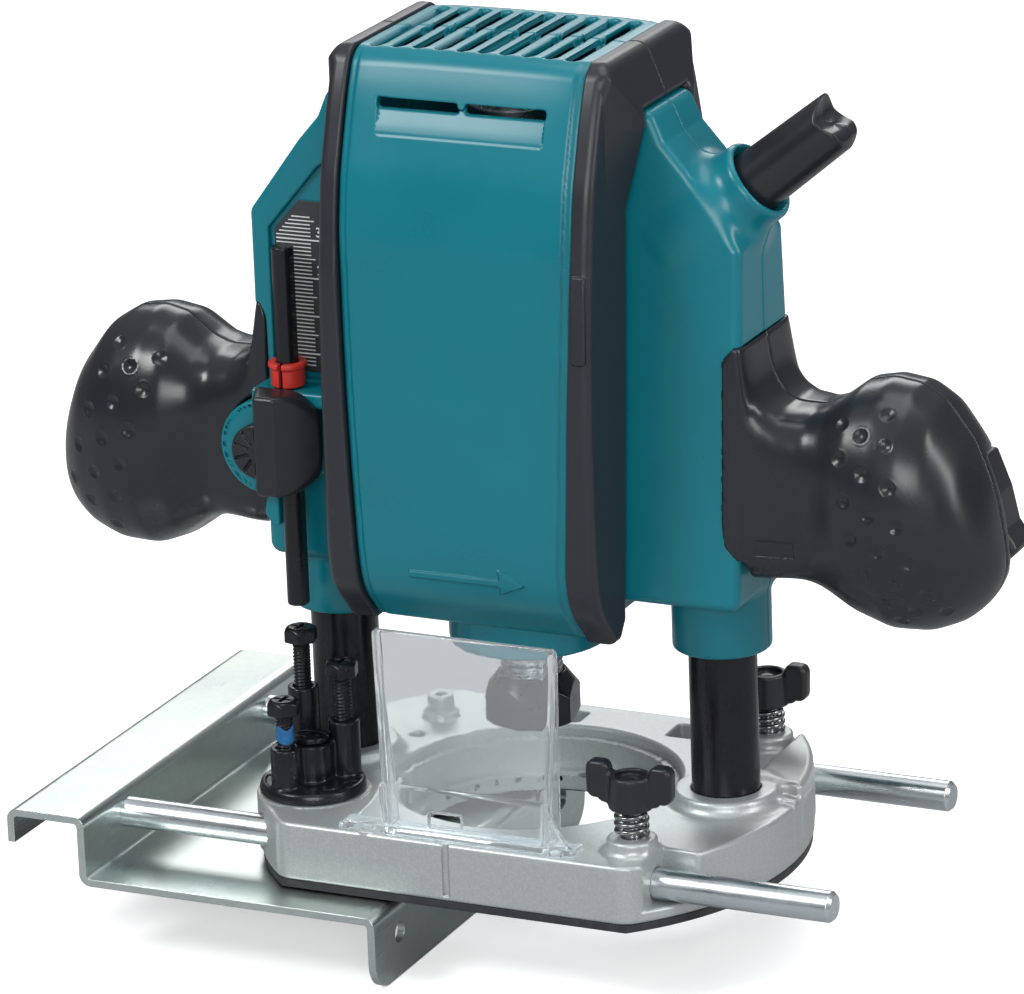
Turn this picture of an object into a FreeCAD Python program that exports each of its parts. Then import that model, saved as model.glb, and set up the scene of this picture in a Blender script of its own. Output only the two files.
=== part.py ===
import FreeCAD, Part
import math
import os
import Sketcher
from FreeCAD import Placement, Rotation, Vector

# Plunge router: a base with two columns, a motor housing with two side knobs, and a fence.
# Millimetres. The origin is on the spindle axis at the underside of the sole, +Z is up,
# +X points to the right-hand handle and +Y to the back.

os.makedirs("parts", exist_ok=True)
doc = FreeCAD.newDocument("plunge_router")
sheet = doc.addObject("Spreadsheet::Sheet", "Dims")

# alias, value, note
DIMENSIONS = [
    ("sole_t", 2.0, "sole sheet thickness"),
    ("base_radius", 71.5, "base outline radius"),
    ("base_half", 53.0, "base half depth, front and back flats"),
    ("base_top", 17.5, "height of the base's upper face"),
    ("boss_top", 21.3, "height of the column and wing bolt bosses"),
    ("col_x", 53.3, "column axis offset"),
    ("col_rad", 8.75, "column radius"),
    ("col_bore", 6.6, "column bore radius"),
    ("col_foot", 8.0, "bottom of the column"),
    ("col_top", 133.0, "top of the column"),
    ("rod_y", 40.6, "guide rod offset from the spindle"),
    ("rod_z", 9.5, "guide rod height"),
    ("rod_rad", 4.0, "guide rod radius"),
    ("rod_left", -98.2, "left end of the guide rods"),
    ("rod_right", 99.3, "right end of the guide rods"),
    ("rod_gap", 0.06, "running clearance of the rods"),
    ("wing_front_x", 45.0, "front wing bolt"),
    ("wing_rear_x", 48.0, "rear wing bolt"),
    ("turret_x", -49.9, "stop turret axis"),
    ("turret_y", -28.7, "stop turret axis"),
    ("turret_rad", 13.8, "turret disc radius"),
    ("post_circle", 8.8, "circle of the three stop posts"),
    ("pole_x", -55.3, "depth stop pole"),
    ("pole_y", -21.6, "depth stop pole"),
    ("pole_rad", 2.9, "depth stop pole radius"),
    ("pole_low", 65.2, "bottom of the pole"),
    ("pole_len", 95.3, "length of the pole"),
    ("fence_half", 64.5, "half length of the fence"),
    ("sheet_t", 2.0, "fence sheet thickness"),
    ("flange_x", -16.2, "working face of the fence"),
    ("flange_low", -21.0, "lower edge of the fence flange"),
    ("facing_y", 50.0, "facing holes in the fence flange"),
    ("facing_z", -9.3, "facing holes in the fence flange"),
    ("facing_rad", 2.75, "facing hole radius"),
    ("core_half", 31.0, "half width of the motor barrel"),
    ("trim_half", 37.2, "half width over the corner trims"),
    ("shoulder_x", 66.7, "outer face of the shoulders"),
    ("wall_t", 2.6, "housing wall"),
    ("bush_rad", 11.0, "outer radius of the column bushes"),
    ("bush_low", 59.5, "bottom of the column bosses"),
    ("bore_top", 169.5, "top of the column bores in the housing"),
    ("nose_rad", 21.0, "radius of the spindle nose"),
    ("thread_rad", 8.0, "spindle thread radius"),
    ("nut_flats", 22.0, "collet nut across flats"),
    ("nut_low", 33.8, "bottom of the collet nut"),
    ("nut_high", 47.0, "top of the collet nut"),
    ("shank_rad", 3.175, "collet bore radius"),
    ("clamp_x", -62.0, "clamp knob axis"),
    ("clamp_z", 107.0, "clamp knob axis"),
    ("guide_hole_rad", 2.05, "template guide screw holes"),
    ("guide_hole_off", 32.5, "template guide screw holes, distance from the spindle"),
]


# ==== sizes ===============================================================
class Size:
    """A number together with the sheet expression it comes from."""

    def __init__(self, value, expr=None):
        self.value = float(value)
        self.bound = expr is not None
        plain = ("(%.6f)" if self.value < 0 else "%.6f") % self.value
        self.expr = expr if self.bound else plain

    def mix(self, other, sign, value):
        result = Size(value, "(%s %s %s)" % (self.expr, sign, other.expr))
        result.bound = self.bound or other.bound
        return result

    def __add__(self, other):
        other = as_size(other)
        return self.mix(other, "+", self.value + other.value)

    __radd__ = __add__

    def __sub__(self, other):
        other = as_size(other)
        return self.mix(other, "-", self.value - other.value)

    def __rsub__(self, other):
        return as_size(other) - self

    def __mul__(self, other):
        other = as_size(other)
        return self.mix(other, "*", self.value * other.value)

    __rmul__ = __mul__

    def __neg__(self):
        return as_size(0) - self


def as_size(x):
    return x if isinstance(x, Size) else Size(x)


class Dimensions:
    """Holds one Size for each alias of the sheet."""


dims = Dimensions()
for row, (alias, value, note) in enumerate(DIMENSIONS, 1):
    sheet.set("A%d" % row, note)
    sheet.set("B%d" % row, repr(value))
    sheet.setAlias("B%d" % row, alias)
    setattr(dims, alias, Size(value, "Dims." + alias))
doc.recompute()

# ==== primitives and booleans =============================================
NODES = []
SIDES = (-1, 1)  # left and right, or front and rear
BIG = 400  # reaches past everything
ALONG_Z = Rotation()
ALONG_X = Rotation(Vector(0, 1, 0), 90)
ALONG_Y = Rotation(Vector(1, 0, 0), -90)


def bind(obj, prop, size):
    size = as_size(size)
    setattr(obj, prop, size.value)
    if size.bound:
        obj.setExpression(prop, size.expr)


def place(obj, at, turn=None):
    at = [as_size(a) for a in at]
    obj.Placement = Placement(Vector(*[a.value for a in at]), turn or Rotation())
    for a, axis in zip(at, "xyz"):
        if a.bound:
            obj.setExpression("Placement.Base." + axis, a.expr)
    return obj


def cyl(radius, length, at, turn=ALONG_Z):
    obj = doc.addObject("Part::Cylinder", "cylinder")
    bind(obj, "Radius", radius)
    bind(obj, "Height", length)
    return place(obj, at, turn)


def cone(start_radius, end_radius, length, at, turn=ALONG_Z):
    obj = doc.addObject("Part::Cone", "cone")
    bind(obj, "Radius1", start_radius)
    bind(obj, "Radius2", end_radius)
    bind(obj, "Height", length)
    return place(obj, at, turn)


def span(x0, x1, y0, y1, z0, z1, angle=None):
    """A box between two corners, turned about the Z axis of the frame if an angle is given."""
    x0, x1, y0, y1, z0, z1 = [as_size(a) for a in (x0, x1, y0, y1, z0, z1)]
    obj = doc.addObject("Part::Box", "box")
    bind(obj, "Length", x1 - x0)
    bind(obj, "Width", y1 - y0)
    bind(obj, "Height", z1 - z0)
    if angle is None:
        return place(obj, (x0, y0, z0))
    turn = Rotation(Vector(0, 0, 1), angle)
    corner = turn.multVec(Vector(x0.value, y0.value, z0.value))
    return place(obj, (corner.x, corner.y, corner.z), turn)


def side_span(side, near, far, *rest):
    """A box from near to far out from the spindle, to the left (-1) or the right (1)."""
    x0, x1 = (near, far) if side > 0 else (-far, -near)
    return span(x0, x1, *rest)


def ball(radius, at):
    obj = doc.addObject("Part::Sphere", "ball")
    bind(obj, "Radius", radius)
    return place(obj, at)


def fuse(*parts):
    obj = doc.addObject("Part::MultiFuse", "fuse")
    obj.Shapes = list(parts)
    return obj


def group(*parts):
    """Separate solids that share one node."""
    obj = doc.addObject("Part::Compound", "group")
    obj.Links = list(parts)
    return obj


def cut(base, *tools):
    obj = doc.addObject("Part::Cut", "cut")
    obj.Base = base
    obj.Tool = tools[0] if len(tools) == 1 else fuse(*tools)
    return obj


def common(base, tool):
    obj = doc.addObject("Part::Common", "common")
    obj.Base, obj.Tool = base, tool
    return obj


def tube(outer, inner, z0, z1):
    return cut(cyl(outer, z1 - z0, (0, 0, z0)), cyl(inner, z1 - z0 + 2, (0, 0, z0 - 1)))


def node(obj, name):
    obj.Label = name
    NODES.append(obj)
    return obj


# ==== sketch based pieces =================================================
def new_body(name):
    return doc.addObject("PartDesign::Body", name + "_body")


def origin_feature(body, role):
    return [o for o in body.Origin.OriginFeatures if getattr(o, "Role", "") == role][0]


def new_sketch(body, plane, offset=0):
    sketch = body.newObject("Sketcher::SketchObject", "sketch")
    sketch.AttachmentSupport = [(origin_feature(body, plane), "")]
    sketch.MapMode = "FlatFace"
    offset = as_size(offset)
    sketch.AttachmentOffset = Placement(Vector(0, 0, offset.value), Rotation())
    if offset.bound:
        sketch.setExpression("AttachmentOffset.Base.z", offset.expr)
    return sketch


def pin_point(sketch, geo, pos, x, y):
    """Fixes a point by its distances from the sketch origin."""
    for kind, size, axis in (("DistanceX", as_size(x), -2), ("DistanceY", as_size(y), -1)):
        if abs(size.value) < 1e-9 and not size.bound:
            sketch.addConstraint(Sketcher.Constraint("PointOnObject", geo, pos, axis))
            continue
        if size.value >= 0:
            constraint = Sketcher.Constraint(kind, -1, 1, geo, pos, size.value)
        else:
            size = -size
            constraint = Sketcher.Constraint(kind, geo, pos, -1, 1, size.value)
        index = sketch.addConstraint(constraint)
        if size.bound:
            sketch.setExpression("Constraints[%d]" % index, size.expr)


def outline(sketch, points):
    """A closed polygon."""
    points = [(as_size(x), as_size(y)) for x, y in points]
    count, first = len(points), sketch.GeometryCount
    corners = [Vector(x.value, y.value, 0) for x, y in points]
    for i in range(count):
        sketch.addGeometry(Part.LineSegment(corners[i], corners[(i + 1) % count]))
    for i in range(count):
        after = first + (i + 1) % count
        sketch.addConstraint(Sketcher.Constraint("Coincident", first + i, 2, after, 1))
    for i, (x, y) in enumerate(points):
        pin_point(sketch, first + i, 1, x, y)


def ring(sketch, x, y, radius):
    radius = as_size(radius)
    centre = Vector(as_size(x).value, as_size(y).value, 0)
    geo = sketch.addGeometry(Part.Circle(centre, Vector(0, 0, 1), radius.value))
    index = sketch.addConstraint(Sketcher.Constraint("Radius", geo, radius.value))
    if radius.bound:
        sketch.setExpression("Constraints[%d]" % index, radius.expr)
    pin_point(sketch, geo, 3, x, y)


def extrude(body, kind, profile, length, symmetric=False, reverse=False):
    """Adds a Pad or a Pocket."""
    obj = body.newObject("PartDesign::" + kind, kind.lower())
    obj.Profile = profile
    if symmetric:
        obj.SideType = "Symmetric"
    obj.Reversed = reverse
    bind(obj, "Length", length)
    return obj


def revolve(body, points):
    profile = new_sketch(body, "XZ_Plane")
    outline(profile, points)
    obj = body.newObject("PartDesign::Revolution", "revolution")
    obj.Profile = profile
    obj.ReferenceAxis = (profile, ["V_Axis"])
    obj.Angle = 360


def prism(name, plane, points, length, centre=0, start=None):
    """Padded both ways about centre, or one way from start. The XZ plane faces -Y."""
    body = new_body(name)
    profile = new_sketch(body, plane, centre if start is None else start)
    outline(profile, points)
    extrude(body, "Pad", profile, length, symmetric=start is None)
    return body


def turned(name, points, at=(0, 0, 0), turn=None):
    """A turned piece: points are (radius, height) about its own axis."""
    body = new_body(name)
    revolve(body, points)
    return place(body, at, turn)


def hexagon(name, flats, height, at, angle):
    obj = doc.addObject("Part::Prism", name)
    obj.Polygon = 6
    bind(obj, "Circumradius", flats * (1 / math.sqrt(3)))
    bind(obj, "Height", height)
    return place(obj, at, Rotation(Vector(0, 0, 1), angle))


def coil(name, radius, wire_radius, pitch, height, at):
    """A coil spring: a round wire swept along a helix."""
    path = doc.addObject("Part::Helix", name + "_path")
    path.Pitch, path.Height, path.Radius = pitch, height, radius
    wire = doc.addObject("Part::Circle", name + "_wire")
    wire.Radius = wire_radius
    wire.Placement = Placement(Vector(radius, 0, 0), Rotation(Vector(1, 0, 0), 90))
    spring = doc.addObject("Part::Sweep", name)
    spring.Sections, spring.Spine = [wire], (path, ["Edge1"])
    spring.Solid, spring.Frenet = True, True
    return place(spring, at)


def loft(name, stations, side):
    """A loft along X through ellipses: x, centre height, half height, half depth."""
    sections = []
    for x, centre_z, half_height, half_depth in stations:
        section = doc.addObject("Part::Ellipse", name + "_section")
        section.MajorRadius, section.MinorRadius = half_height, half_depth
        section.Placement = Placement(Vector(side * x, 0, centre_z), ALONG_X)
        sections.append(section)
    obj = doc.addObject("Part::Loft", name)
    obj.Sections, obj.Solid, obj.Ruled, obj.MaxDegree = sections, True, False, 3
    return obj


def mirrored(points):
    return [(-y, z) for y, z in reversed(points)]


def both(points):
    """A front half profile of (y, z) points, closed by its mirror image at the rear."""
    return points + mirrored(points)


# ==== base ================================================================
WINGS = ((dims.wing_front_x, -dims.rod_y), (dims.wing_rear_x, dims.rod_y))
SOLE_SCREWS = [(sx * 42.0, sy * 20.0) for sx in SIDES for sy in SIDES]
PEGS = ((-24.0, -48.6), (28.0, -48.6))  # feet of the chip guard
TURRET = (dims.turret_x, dims.turret_y)
REAR_BOSS = (-41.9, 32.0)
HUMP = [(58.5, 8.0), (75.0, 6.0), (75.0, 55.0), (56.0, 55.0), (56.0, 22.0)]


def base_plan(radius, half, z0, z1):
    """A disc with flats at the front and the back."""
    disc = cyl(radius, as_size(z1) - z0, (0, 0, z0))
    return common(disc, span(-BIG, BIG, -half, half, z0, z1))


sole = cut(
    base_plan(dims.base_radius - 0.4, dims.base_half - 0.4, 0, dims.sole_t),
    cyl(35, 10, (0, 0, -4)),
    *[cone(4.1, 2.1, 2.0, (x, y, 0)) for x, y in SOLE_SCREWS],
    *[cyl(5.6, 10, (side * dims.col_x, 0, -4)) for side in SIDES],
)
node(sole, "sole_plate")

boss_height = dims.boss_top - dims.sole_t
base_solid = fuse(
    base_plan(dims.base_radius, dims.base_half, dims.sole_t, dims.base_top),
    *[cyl(13.5, boss_height, (side * dims.col_x, 0, dims.sole_t)) for side in SIDES],
    *[cyl(6.5, boss_height, (x, y, dims.sole_t)) for x, y in WINGS],
    cyl(14.6, dims.base_top + 0.3 - dims.sole_t, (*TURRET, dims.sole_t)),
    # raised corner over the rear rod
    common(
        prism("hump", "XY_Plane", HUMP, 16.0, start=5.4),
        base_plan(dims.base_radius, dims.base_half, 5.4, 21.4),
    ),
    # small stepped boss at the rear left
    cyl(4.6, 4.5, (*REAR_BOSS, 15.0)),
    cyl(3.5, 9.0, (*REAR_BOSS, 15.0)),
)
rod_bore_start = -dims.base_radius - 10
casting = cut(
    base_solid,
    # stepped opening round the spindle
    cyl(30, 20, (0, 0, -5)),
    cyl(35, 20, (0, 0, 6)),
    cyl(37.5, 20, (0, 0, 14.5)),
    *[
        cyl(dims.rod_rad + dims.rod_gap, 2 * dims.base_radius + 20,
            (rod_bore_start, side * dims.rod_y, dims.rod_z), ALONG_X)
        for side in SIDES
    ],
    # column sockets, with stepped screw holes from below
    *[cyl(dims.col_rad + 0.02, 30, (side * dims.col_x, 0, dims.col_foot)) for side in SIDES],
    *[cyl(3.1, 20, (side * dims.col_x, 0, -1)) for side in SIDES],
    *[cyl(5.3, 10, (side * dims.col_x, 0, -4.5)) for side in SIDES],
    *[cyl(2.55, 20, (x, y, dims.rod_z)) for x, y in WINGS],
    cyl(3.03, 30, (*TURRET, 6)),
    cyl(1.6, 10, (*REAR_BOSS, 18.0)),
    span(51.3, 90, -70, -36.0, 5.2, 30),  # corner notch where the front rod leaves
    *[cyl(2.05, 8.5, (x, y, 0)) for x, y in SOLE_SCREWS],
    *[cyl(dims.guide_hole_rad, 10, (0, side * dims.guide_hole_off, 0)) for side in SIDES],
    *[cyl(2.0, 10, (x, y, 12)) for x, y in PEGS],
)
node(casting, "base_casting")


def sole_screw(x, y):
    return fuse(cone(3.9, 1.95, 1.95, (x, y, 0.1)), cyl(1.95, 6.2, (x, y, 1.9)))


node(group(*[sole_screw(x, y) for x, y in SOLE_SCREWS]), "sole_screws")

# ==== columns =============================================================
# A tube with a chamfered foot and top; its foot is solid round the screw hole up to z 20.
COLUMN = [
    (3.02, dims.col_foot), (dims.col_rad - 0.4, dims.col_foot),
    (dims.col_rad, dims.col_foot + 0.4), (dims.col_rad, dims.col_top - 0.8),
    (dims.col_rad - 0.8, dims.col_top), (dims.col_bore, dims.col_top),
    (dims.col_bore, 20), (3.02, 20),
]
for side, name in zip(SIDES, ("left_column", "right_column")):
    node(turned(name, COLUMN, (side * dims.col_x, 0, 0)), name)


def column_screw(x):
    return fuse(cyl(5.0, 3.2, (x, 0, 2.1)), cyl(2.98, 12, (x, 0, 5.2)))


def plunge_spring(x):
    return coil("plunge_spring", 5.5, 0.7, 8.6, 146.2, (x, 0, 21.0))


node(group(*[column_screw(side * dims.col_x) for side in SIDES]), "column_screws")
node(group(*[plunge_spring(side * dims.col_x) for side in SIDES]), "plunge_springs")

# ==== chip guard ==========================================================
# A front sheet that widens upwards, short side walls, and flared feet on two pegs.
# name, distance in front of the spindle, thickness forwards, (x, z) outline
GUARD_PANELS = (
    ("guard_front", 50.0, 2.0, [(-19.6, 19.5), (26.6, 19.5), (30.0, 72.4), (-21.0, 72.4)]),
    ("guard_left", 42.5, 9.5, [(-19.6, 19.5), (-17.6, 19.5), (-19.0, 72.4), (-21.0, 72.4)]),
    ("guard_right", 42.5, 9.5, [(24.6, 19.5), (26.6, 19.5), (30.0, 72.4), (28.0, 72.4)]),
    ("gusset_left", 50.0, 2.0, [(-32.4, 19.5), (-19.0, 19.5), (-19.6, 44.0), (-20.2, 44.0)]),
    ("gusset_right", 50.0, 2.0, [(26.0, 19.5), (34.0, 19.5), (28.8, 44.0), (28.0, 44.0)]),
)
guard = fuse(
    *[
        prism(name, "XZ_Plane", points, thickness, start=distance)
        for name, distance, thickness, points in GUARD_PANELS
    ],
    span(-32.4, 34.0, -52.0, -42.5, dims.base_top, dims.base_top + 2.0),
    *[cyl(1.95, 6.0, (x, y, 12.5)) for x, y in PEGS],
)
node(cut(guard, span(-6, 3, -60, -49, 21, 25)), "chip_guard")

# ==== stop turret =========================================================
DISC_LOW = dims.base_top + 0.35
POST_LOW = 18.5
POST_BORE_LOW = 18.8
# name, angle on the post circle, post top, bolt head top, bolt bottom
STOP_BOLTS = (
    ("stop_bolt_high", 127.0, 43.0, 59.1, 27.0),
    ("stop_bolt_middle", 40.0, 35.7, 51.6, 26.5),
    ("stop_bolt_low", 248.0, 31.5, 44.6, 24.0),
)


def post_place(angle):
    angle = math.radians(angle)
    x = dims.turret_x + dims.post_circle * math.cos(angle)
    return x, dims.turret_y + dims.post_circle * math.sin(angle)


posts = [(name, *post_place(angle), *heights) for name, angle, *heights in STOP_BOLTS]
turret = cut(
    fuse(
        cyl(dims.turret_rad, 3.0, (*TURRET, DISC_LOW)),
        cyl(5.7, 13.0, (*TURRET, DISC_LOW)),
        *[cyl(4.0, top - POST_LOW, (x, y, POST_LOW)) for _, x, y, top, _, _ in posts],
    ),
    cyl(3.05, 40, (*TURRET, 10)),
    *[cyl(2.45, 60, (x, y, POST_BORE_LOW)) for _, x, y, _, _, _ in posts],
)
node(turret, "stop_turret")

pivot_slot = span(
    dims.turret_x - 6, dims.turret_x + 6, dims.turret_y - 0.7, dims.turret_y + 0.7, 32.0, 34
)
pivot = fuse(cyl(3.0, 24.9, (*TURRET, 6.1)), cyl(4.65, 2.4, (*TURRET, 30.95)))
node(cut(pivot, pivot_slot), "turret_pivot")


def stop_bolt(x, y, head_top, low):
    """A hexagon head bolt with a cross recess."""
    head = common(
        hexagon("head", 7.8, 4.0, (x, y, head_top - 4.0), 15),
        cone(7.4, 3.9, 5.6, (x, y, head_top - 5.2)),
    )
    slot_heights = (head_top - 1.4, head_top + 1)
    return cut(
        fuse(cyl(2.4, head_top - 1 - low, (x, y, low)), head),
        span(x - 2.4, x + 2.4, y - 0.5, y + 0.5, *slot_heights),
        span(x - 0.5, x + 0.5, y - 2.4, y + 2.4, *slot_heights),
    )


for name, x, y, _, head_top, low in posts:
    node(stop_bolt(x, y, head_top, low), name)

# ==== wing bolts ==========================================================
# (x, z) outline of the two wings
WING_OUTLINE = [
    (-11.4, 33.0), (-9.4, 31.0), (9.4, 31.0), (11.4, 33.0), (11.6, 40.4),
    (6.2, 40.9), (5.3, 35.8), (-5.3, 35.8), (-6.2, 40.9), (-11.6, 40.4),
]
wing_springs = []
for which, (x, y) in zip(("front", "rear"), WINGS):
    node(cyl(2.5, 16.4, (x, y, dims.rod_z + dims.rod_rad + 0.1)), which + "_wing_stud")
    hub = cut(cone(5.8, 5.3, 8.9, (x, y, 28.9)), cyl(3.7, 3, (x, y, 36.4)))
    wing = place(prism("wing_" + which, "XZ_Plane", WING_OUTLINE, 4.2), (x, y, 0))
    node(cut(fuse(hub, wing), cyl(2.5, 60, (x, y, -29.9))), which + "_wing_knob")
    wing_springs.append(coil("wing_spring", 3.9, 0.6, 1.9, 5.7, (x, y, dims.boss_top + 0.74)))
node(group(*wing_springs), "wing_springs")

# ==== fence ===============================================================
HOOK_X, HOOK_LOW, HOOK_TOP = -120.5, 7.0, 16.2  # channel at the left, over the rod ends
WEB_TOP = -0.5
CORNER_RAD = 8  # lower ends of the flange
face_x, end_x, thick = dims.flange_x, dims.rod_left, dims.sheet_t
# (x, z) section of the bent sheet: out along one surface and back along the other
FENCE_SECTION = [
    (HOOK_X, HOOK_LOW), (HOOK_X, HOOK_TOP), (end_x, HOOK_TOP), (end_x, WEB_TOP),
    (face_x, WEB_TOP), (face_x, dims.flange_low),
    (face_x - thick, dims.flange_low), (face_x - thick, WEB_TOP - thick),
    (end_x - thick, WEB_TOP - thick), (end_x - thick, HOOK_TOP - thick),
    (HOOK_X + thick, HOOK_TOP - thick), (HOOK_X + thick, HOOK_LOW),
]
# radius and corners of FENCE_SECTION: outsides of the bends, then their insides
BENDS = ((3.0, (1, 2, 4, 8)), (1.0, (3, 7, 9, 10)))


def long_edges(shape, corners):
    """Names of the edges along Y that pass through the given (x, z) corners."""
    places = [(as_size(x).value, as_size(z).value) for x, z in corners]
    names = []
    for i, edge in enumerate(shape.Edges, 1):
        a, b = edge.Vertexes[0].Point, edge.Vertexes[-1].Point
        if abs(a.x - b.x) < 1e-6 and abs(a.z - b.z) < 1e-6:
            if any(abs(a.x - x) < 1e-3 and abs(a.z - z) < 1e-3 for x, z in places):
                names.append("Edge%d" % i)
    return names


def fence_sheet():
    body = new_body("fence")
    profile = new_sketch(body, "XZ_Plane")
    outline(profile, FENCE_SECTION)
    feature = extrude(body, "Pad", profile, dims.fence_half * 2, symmetric=True)
    doc.recompute()
    for radius, corners in BENDS:
        bend = body.newObject("PartDesign::Fillet", "bend")
        bend.Base = (feature, long_edges(feature.Shape, [FENCE_SECTION[i] for i in corners]))
        bend.Radius = radius
        body.Tip = bend
        doc.recompute()
        feature = bend
    holes = new_sketch(body, "YZ_Plane", face_x - 10)
    for side in SIDES:
        ring(holes, side * dims.facing_y, dims.facing_z, dims.facing_rad)
    extrude(body, "Pocket", holes, 20, symmetric=True)
    holes = new_sketch(body, "YZ_Plane", end_x - thick * 0.5)
    for side in SIDES:
        ring(holes, side * dims.rod_y, dims.rod_z, 2.55)
    extrude(body, "Pocket", holes, 6, symmetric=True)
    return body


def flange_corner(side):
    """What is cut away to round one lower end of the flange."""
    middle = side * (dims.fence_half - 4)
    centre = side * (dims.fence_half - CORNER_RAD)
    low, high = dims.flange_low, dims.flange_low + CORNER_RAD
    return cut(
        span(-30, -10, middle - 4.01, middle + 4.01, low - 0.01, high),
        cyl(CORNER_RAD, 30, (-35, centre, high), ALONG_X),
        span(-30, -10, centre - CORNER_RAD, centre + CORNER_RAD, high, 20),
    )


node(cut(fence_sheet(), *[flange_corner(side) for side in SIDES]), "fence_plate")


def guide_rod(side):
    """A rod with a chamfered right end and a screw hole in the left end."""
    y = side * dims.rod_y
    length = dims.rod_right - dims.rod_left - 1
    shank = cyl(dims.rod_rad, length, (dims.rod_left, y, dims.rod_z), ALONG_X)
    end_at = (dims.rod_right - 1, y, dims.rod_z)
    end = cone(dims.rod_rad, dims.rod_rad - 0.8, 1, end_at, ALONG_X)
    return cut(fuse(shank, end), cyl(2.52, 12, (dims.rod_left - 1, y, dims.rod_z), ALONG_X))


def rod_screw(side):
    y = side * dims.rod_y
    head = cyl(3.6, 2.8, (-103.0, y, dims.rod_z), ALONG_X)
    return fuse(head, cyl(2.48, 12, (-100.3, y, dims.rod_z), ALONG_X))


node(group(*[guide_rod(side) for side in SIDES]), "guide_rods")
node(group(*[rod_screw(side) for side in SIDES]), "rod_screws")

# ==== housing =============================================================
# Front half profiles of (y, z): the barrel and its cavity
FACE = [
    (-24.5, 215.0), (-28.5, 207.0), (-31.0, 200.0), (-35.7, 185.0), (-38.0, 170.0),
    (-39.3, 145.0), (-40.2, 126.0), (-40.6, 84.0), (-36.4, 75.0), (-27.8, 68.0),
]
CAVITY = [
    (-21.5, 211.8), (-26.0, 205.5), (-32.5, 184.0), (-35.0, 168.0),
    (-36.5, 140.0), (-37.2, 86.0), (-34.5, 78.0), (-27.0, 72.0),
]
# Shoulders: right front view as (x, z), then front half side views as (y, z)
SHOULDER = [
    (30.5, 200.8), (43.4, 200.8), (46.6, 193.4), (52.4, 186.8),
    (dims.shoulder_x, 167.6), (dims.shoulder_x, 75.4), (30.5, 75.4),
]
SHOULDER_SIDE = [
    (-12.9, 210.0), (-13.0, 203.0), (-13.6, 178.0), (-17.0, 128.0), (-21.0, 76.0), (-21.0, 50.0),
]
LEFT_SHOULDER_FRONT = SHOULDER_SIDE[:3] + [(-15.2, 135.0), (-15.4, 119.0), (-15.4, 50.0)]
# (y, z) where a trim meets the shoulder, from the bottom up
TRIM_INNER = [
    (-29.5, 67.5), (-25.0, 66.6), (-21.2, 69.0), (-21.1, 76.0),
    (-17.1, 128.0), (-13.7, 178.0), (-13.1, 200.9),
]
# Knob stations: x, centre height, half height, half depth
KNOB = [
    (66.7, 106.0, 28.0, 17.5), (72.0, 105.0, 23.5, 17.0), (79.0, 105.1, 21.1, 17.0),
    (86.0, 104.0, 23.6, 18.5), (94.0, 103.9, 29.3, 21.5), (103.0, 103.0, 32.3, 23.5),
    (113.2, 102.0, 29.6, 22.6), (121.2, 100.2, 23.0, 18.2), (126.6, 98.4, 14.6, 12.2),
    (130.0, 97.0, 5.4, 4.5),
]


def inset(stations, depth):
    return [(x, z, height - depth, half - depth) for x, z, height, half in stations]


CORE = [(66.0, 106.0, 25.5, 14.6)] + inset(KNOB[1:8], 3.0) + [(124.8, 98.8, 12.0, 9.5)]
HOLLOW = [(76.0, 105.1, 15.5, 11.3)] + inset(KNOB[3:7], 5.6) + [(119.0, 100.6, 15.0, 11.0)]

# x, z, seat of the head in y, end of the hole in y
SCREWS = [
    (side * x, z, seat, tip)
    for side in SIDES
    for x, z, seat, tip in (
        (34.6, 186.0, 6.0, -7.0), (34.6, 135.0, 10.0, -10.0),
        (34.6, 84.0, 13.0, -13.0), (70.4, 105.0, 11.0, -9.0),
    )
]
POLE = (dims.pole_x, dims.pole_y)
LOCK_X, LOCK_Z = 98.0, 121.0  # lock button axis
LEVER_Z = 100.0  # lock lever axis, level with the left column
CORD_START = Vector(56.0, 0, 174.0)
CORD_DIRECTION = Vector(27, 0, 21.5)
CORD_DIRECTION.normalize()
ALONG_CORD = Rotation(Vector(0, 0, 1), CORD_DIRECTION)


def front_half(gap=0):
    return span(-200, 200, -200, -gap, -50, 300)


def rear_half(gap=0):
    return span(-200, 200, gap, 200, -50, 300)


def shoulder(side, name):
    block = prism(name, "XZ_Plane", [(side * x, z) for x, z in SHOULDER], 60)
    front = SHOULDER_SIDE if side > 0 else LEFT_SHOULDER_FRONT
    depth = prism(name + "_depth", "YZ_Plane", front + mirrored(SHOULDER_SIDE), 160)
    return common(block, depth)


def clamp_cyl(radius, length, y):
    """A cylinder on the axis of the clamp knob."""
    return cyl(radius, length, (dims.clamp_x, y, dims.clamp_z), ALONG_Y)


def trigger_openings():
    """Openings at the rear right for the trigger and the lock button."""
    return [
        span(107.6, 140.0, 3.6, 16.9, 86.6, 115.4),
        cyl(4.7, 40, (LOCK_X, 3, LOCK_Z), ALONG_Y),
    ]


barrel = prism("barrel", "YZ_Plane", both(FACE), 2 * dims.core_half)
cavity = prism("cavity", "YZ_Plane", both(CAVITY), 2 * (dims.core_half - dims.wall_t))

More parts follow.
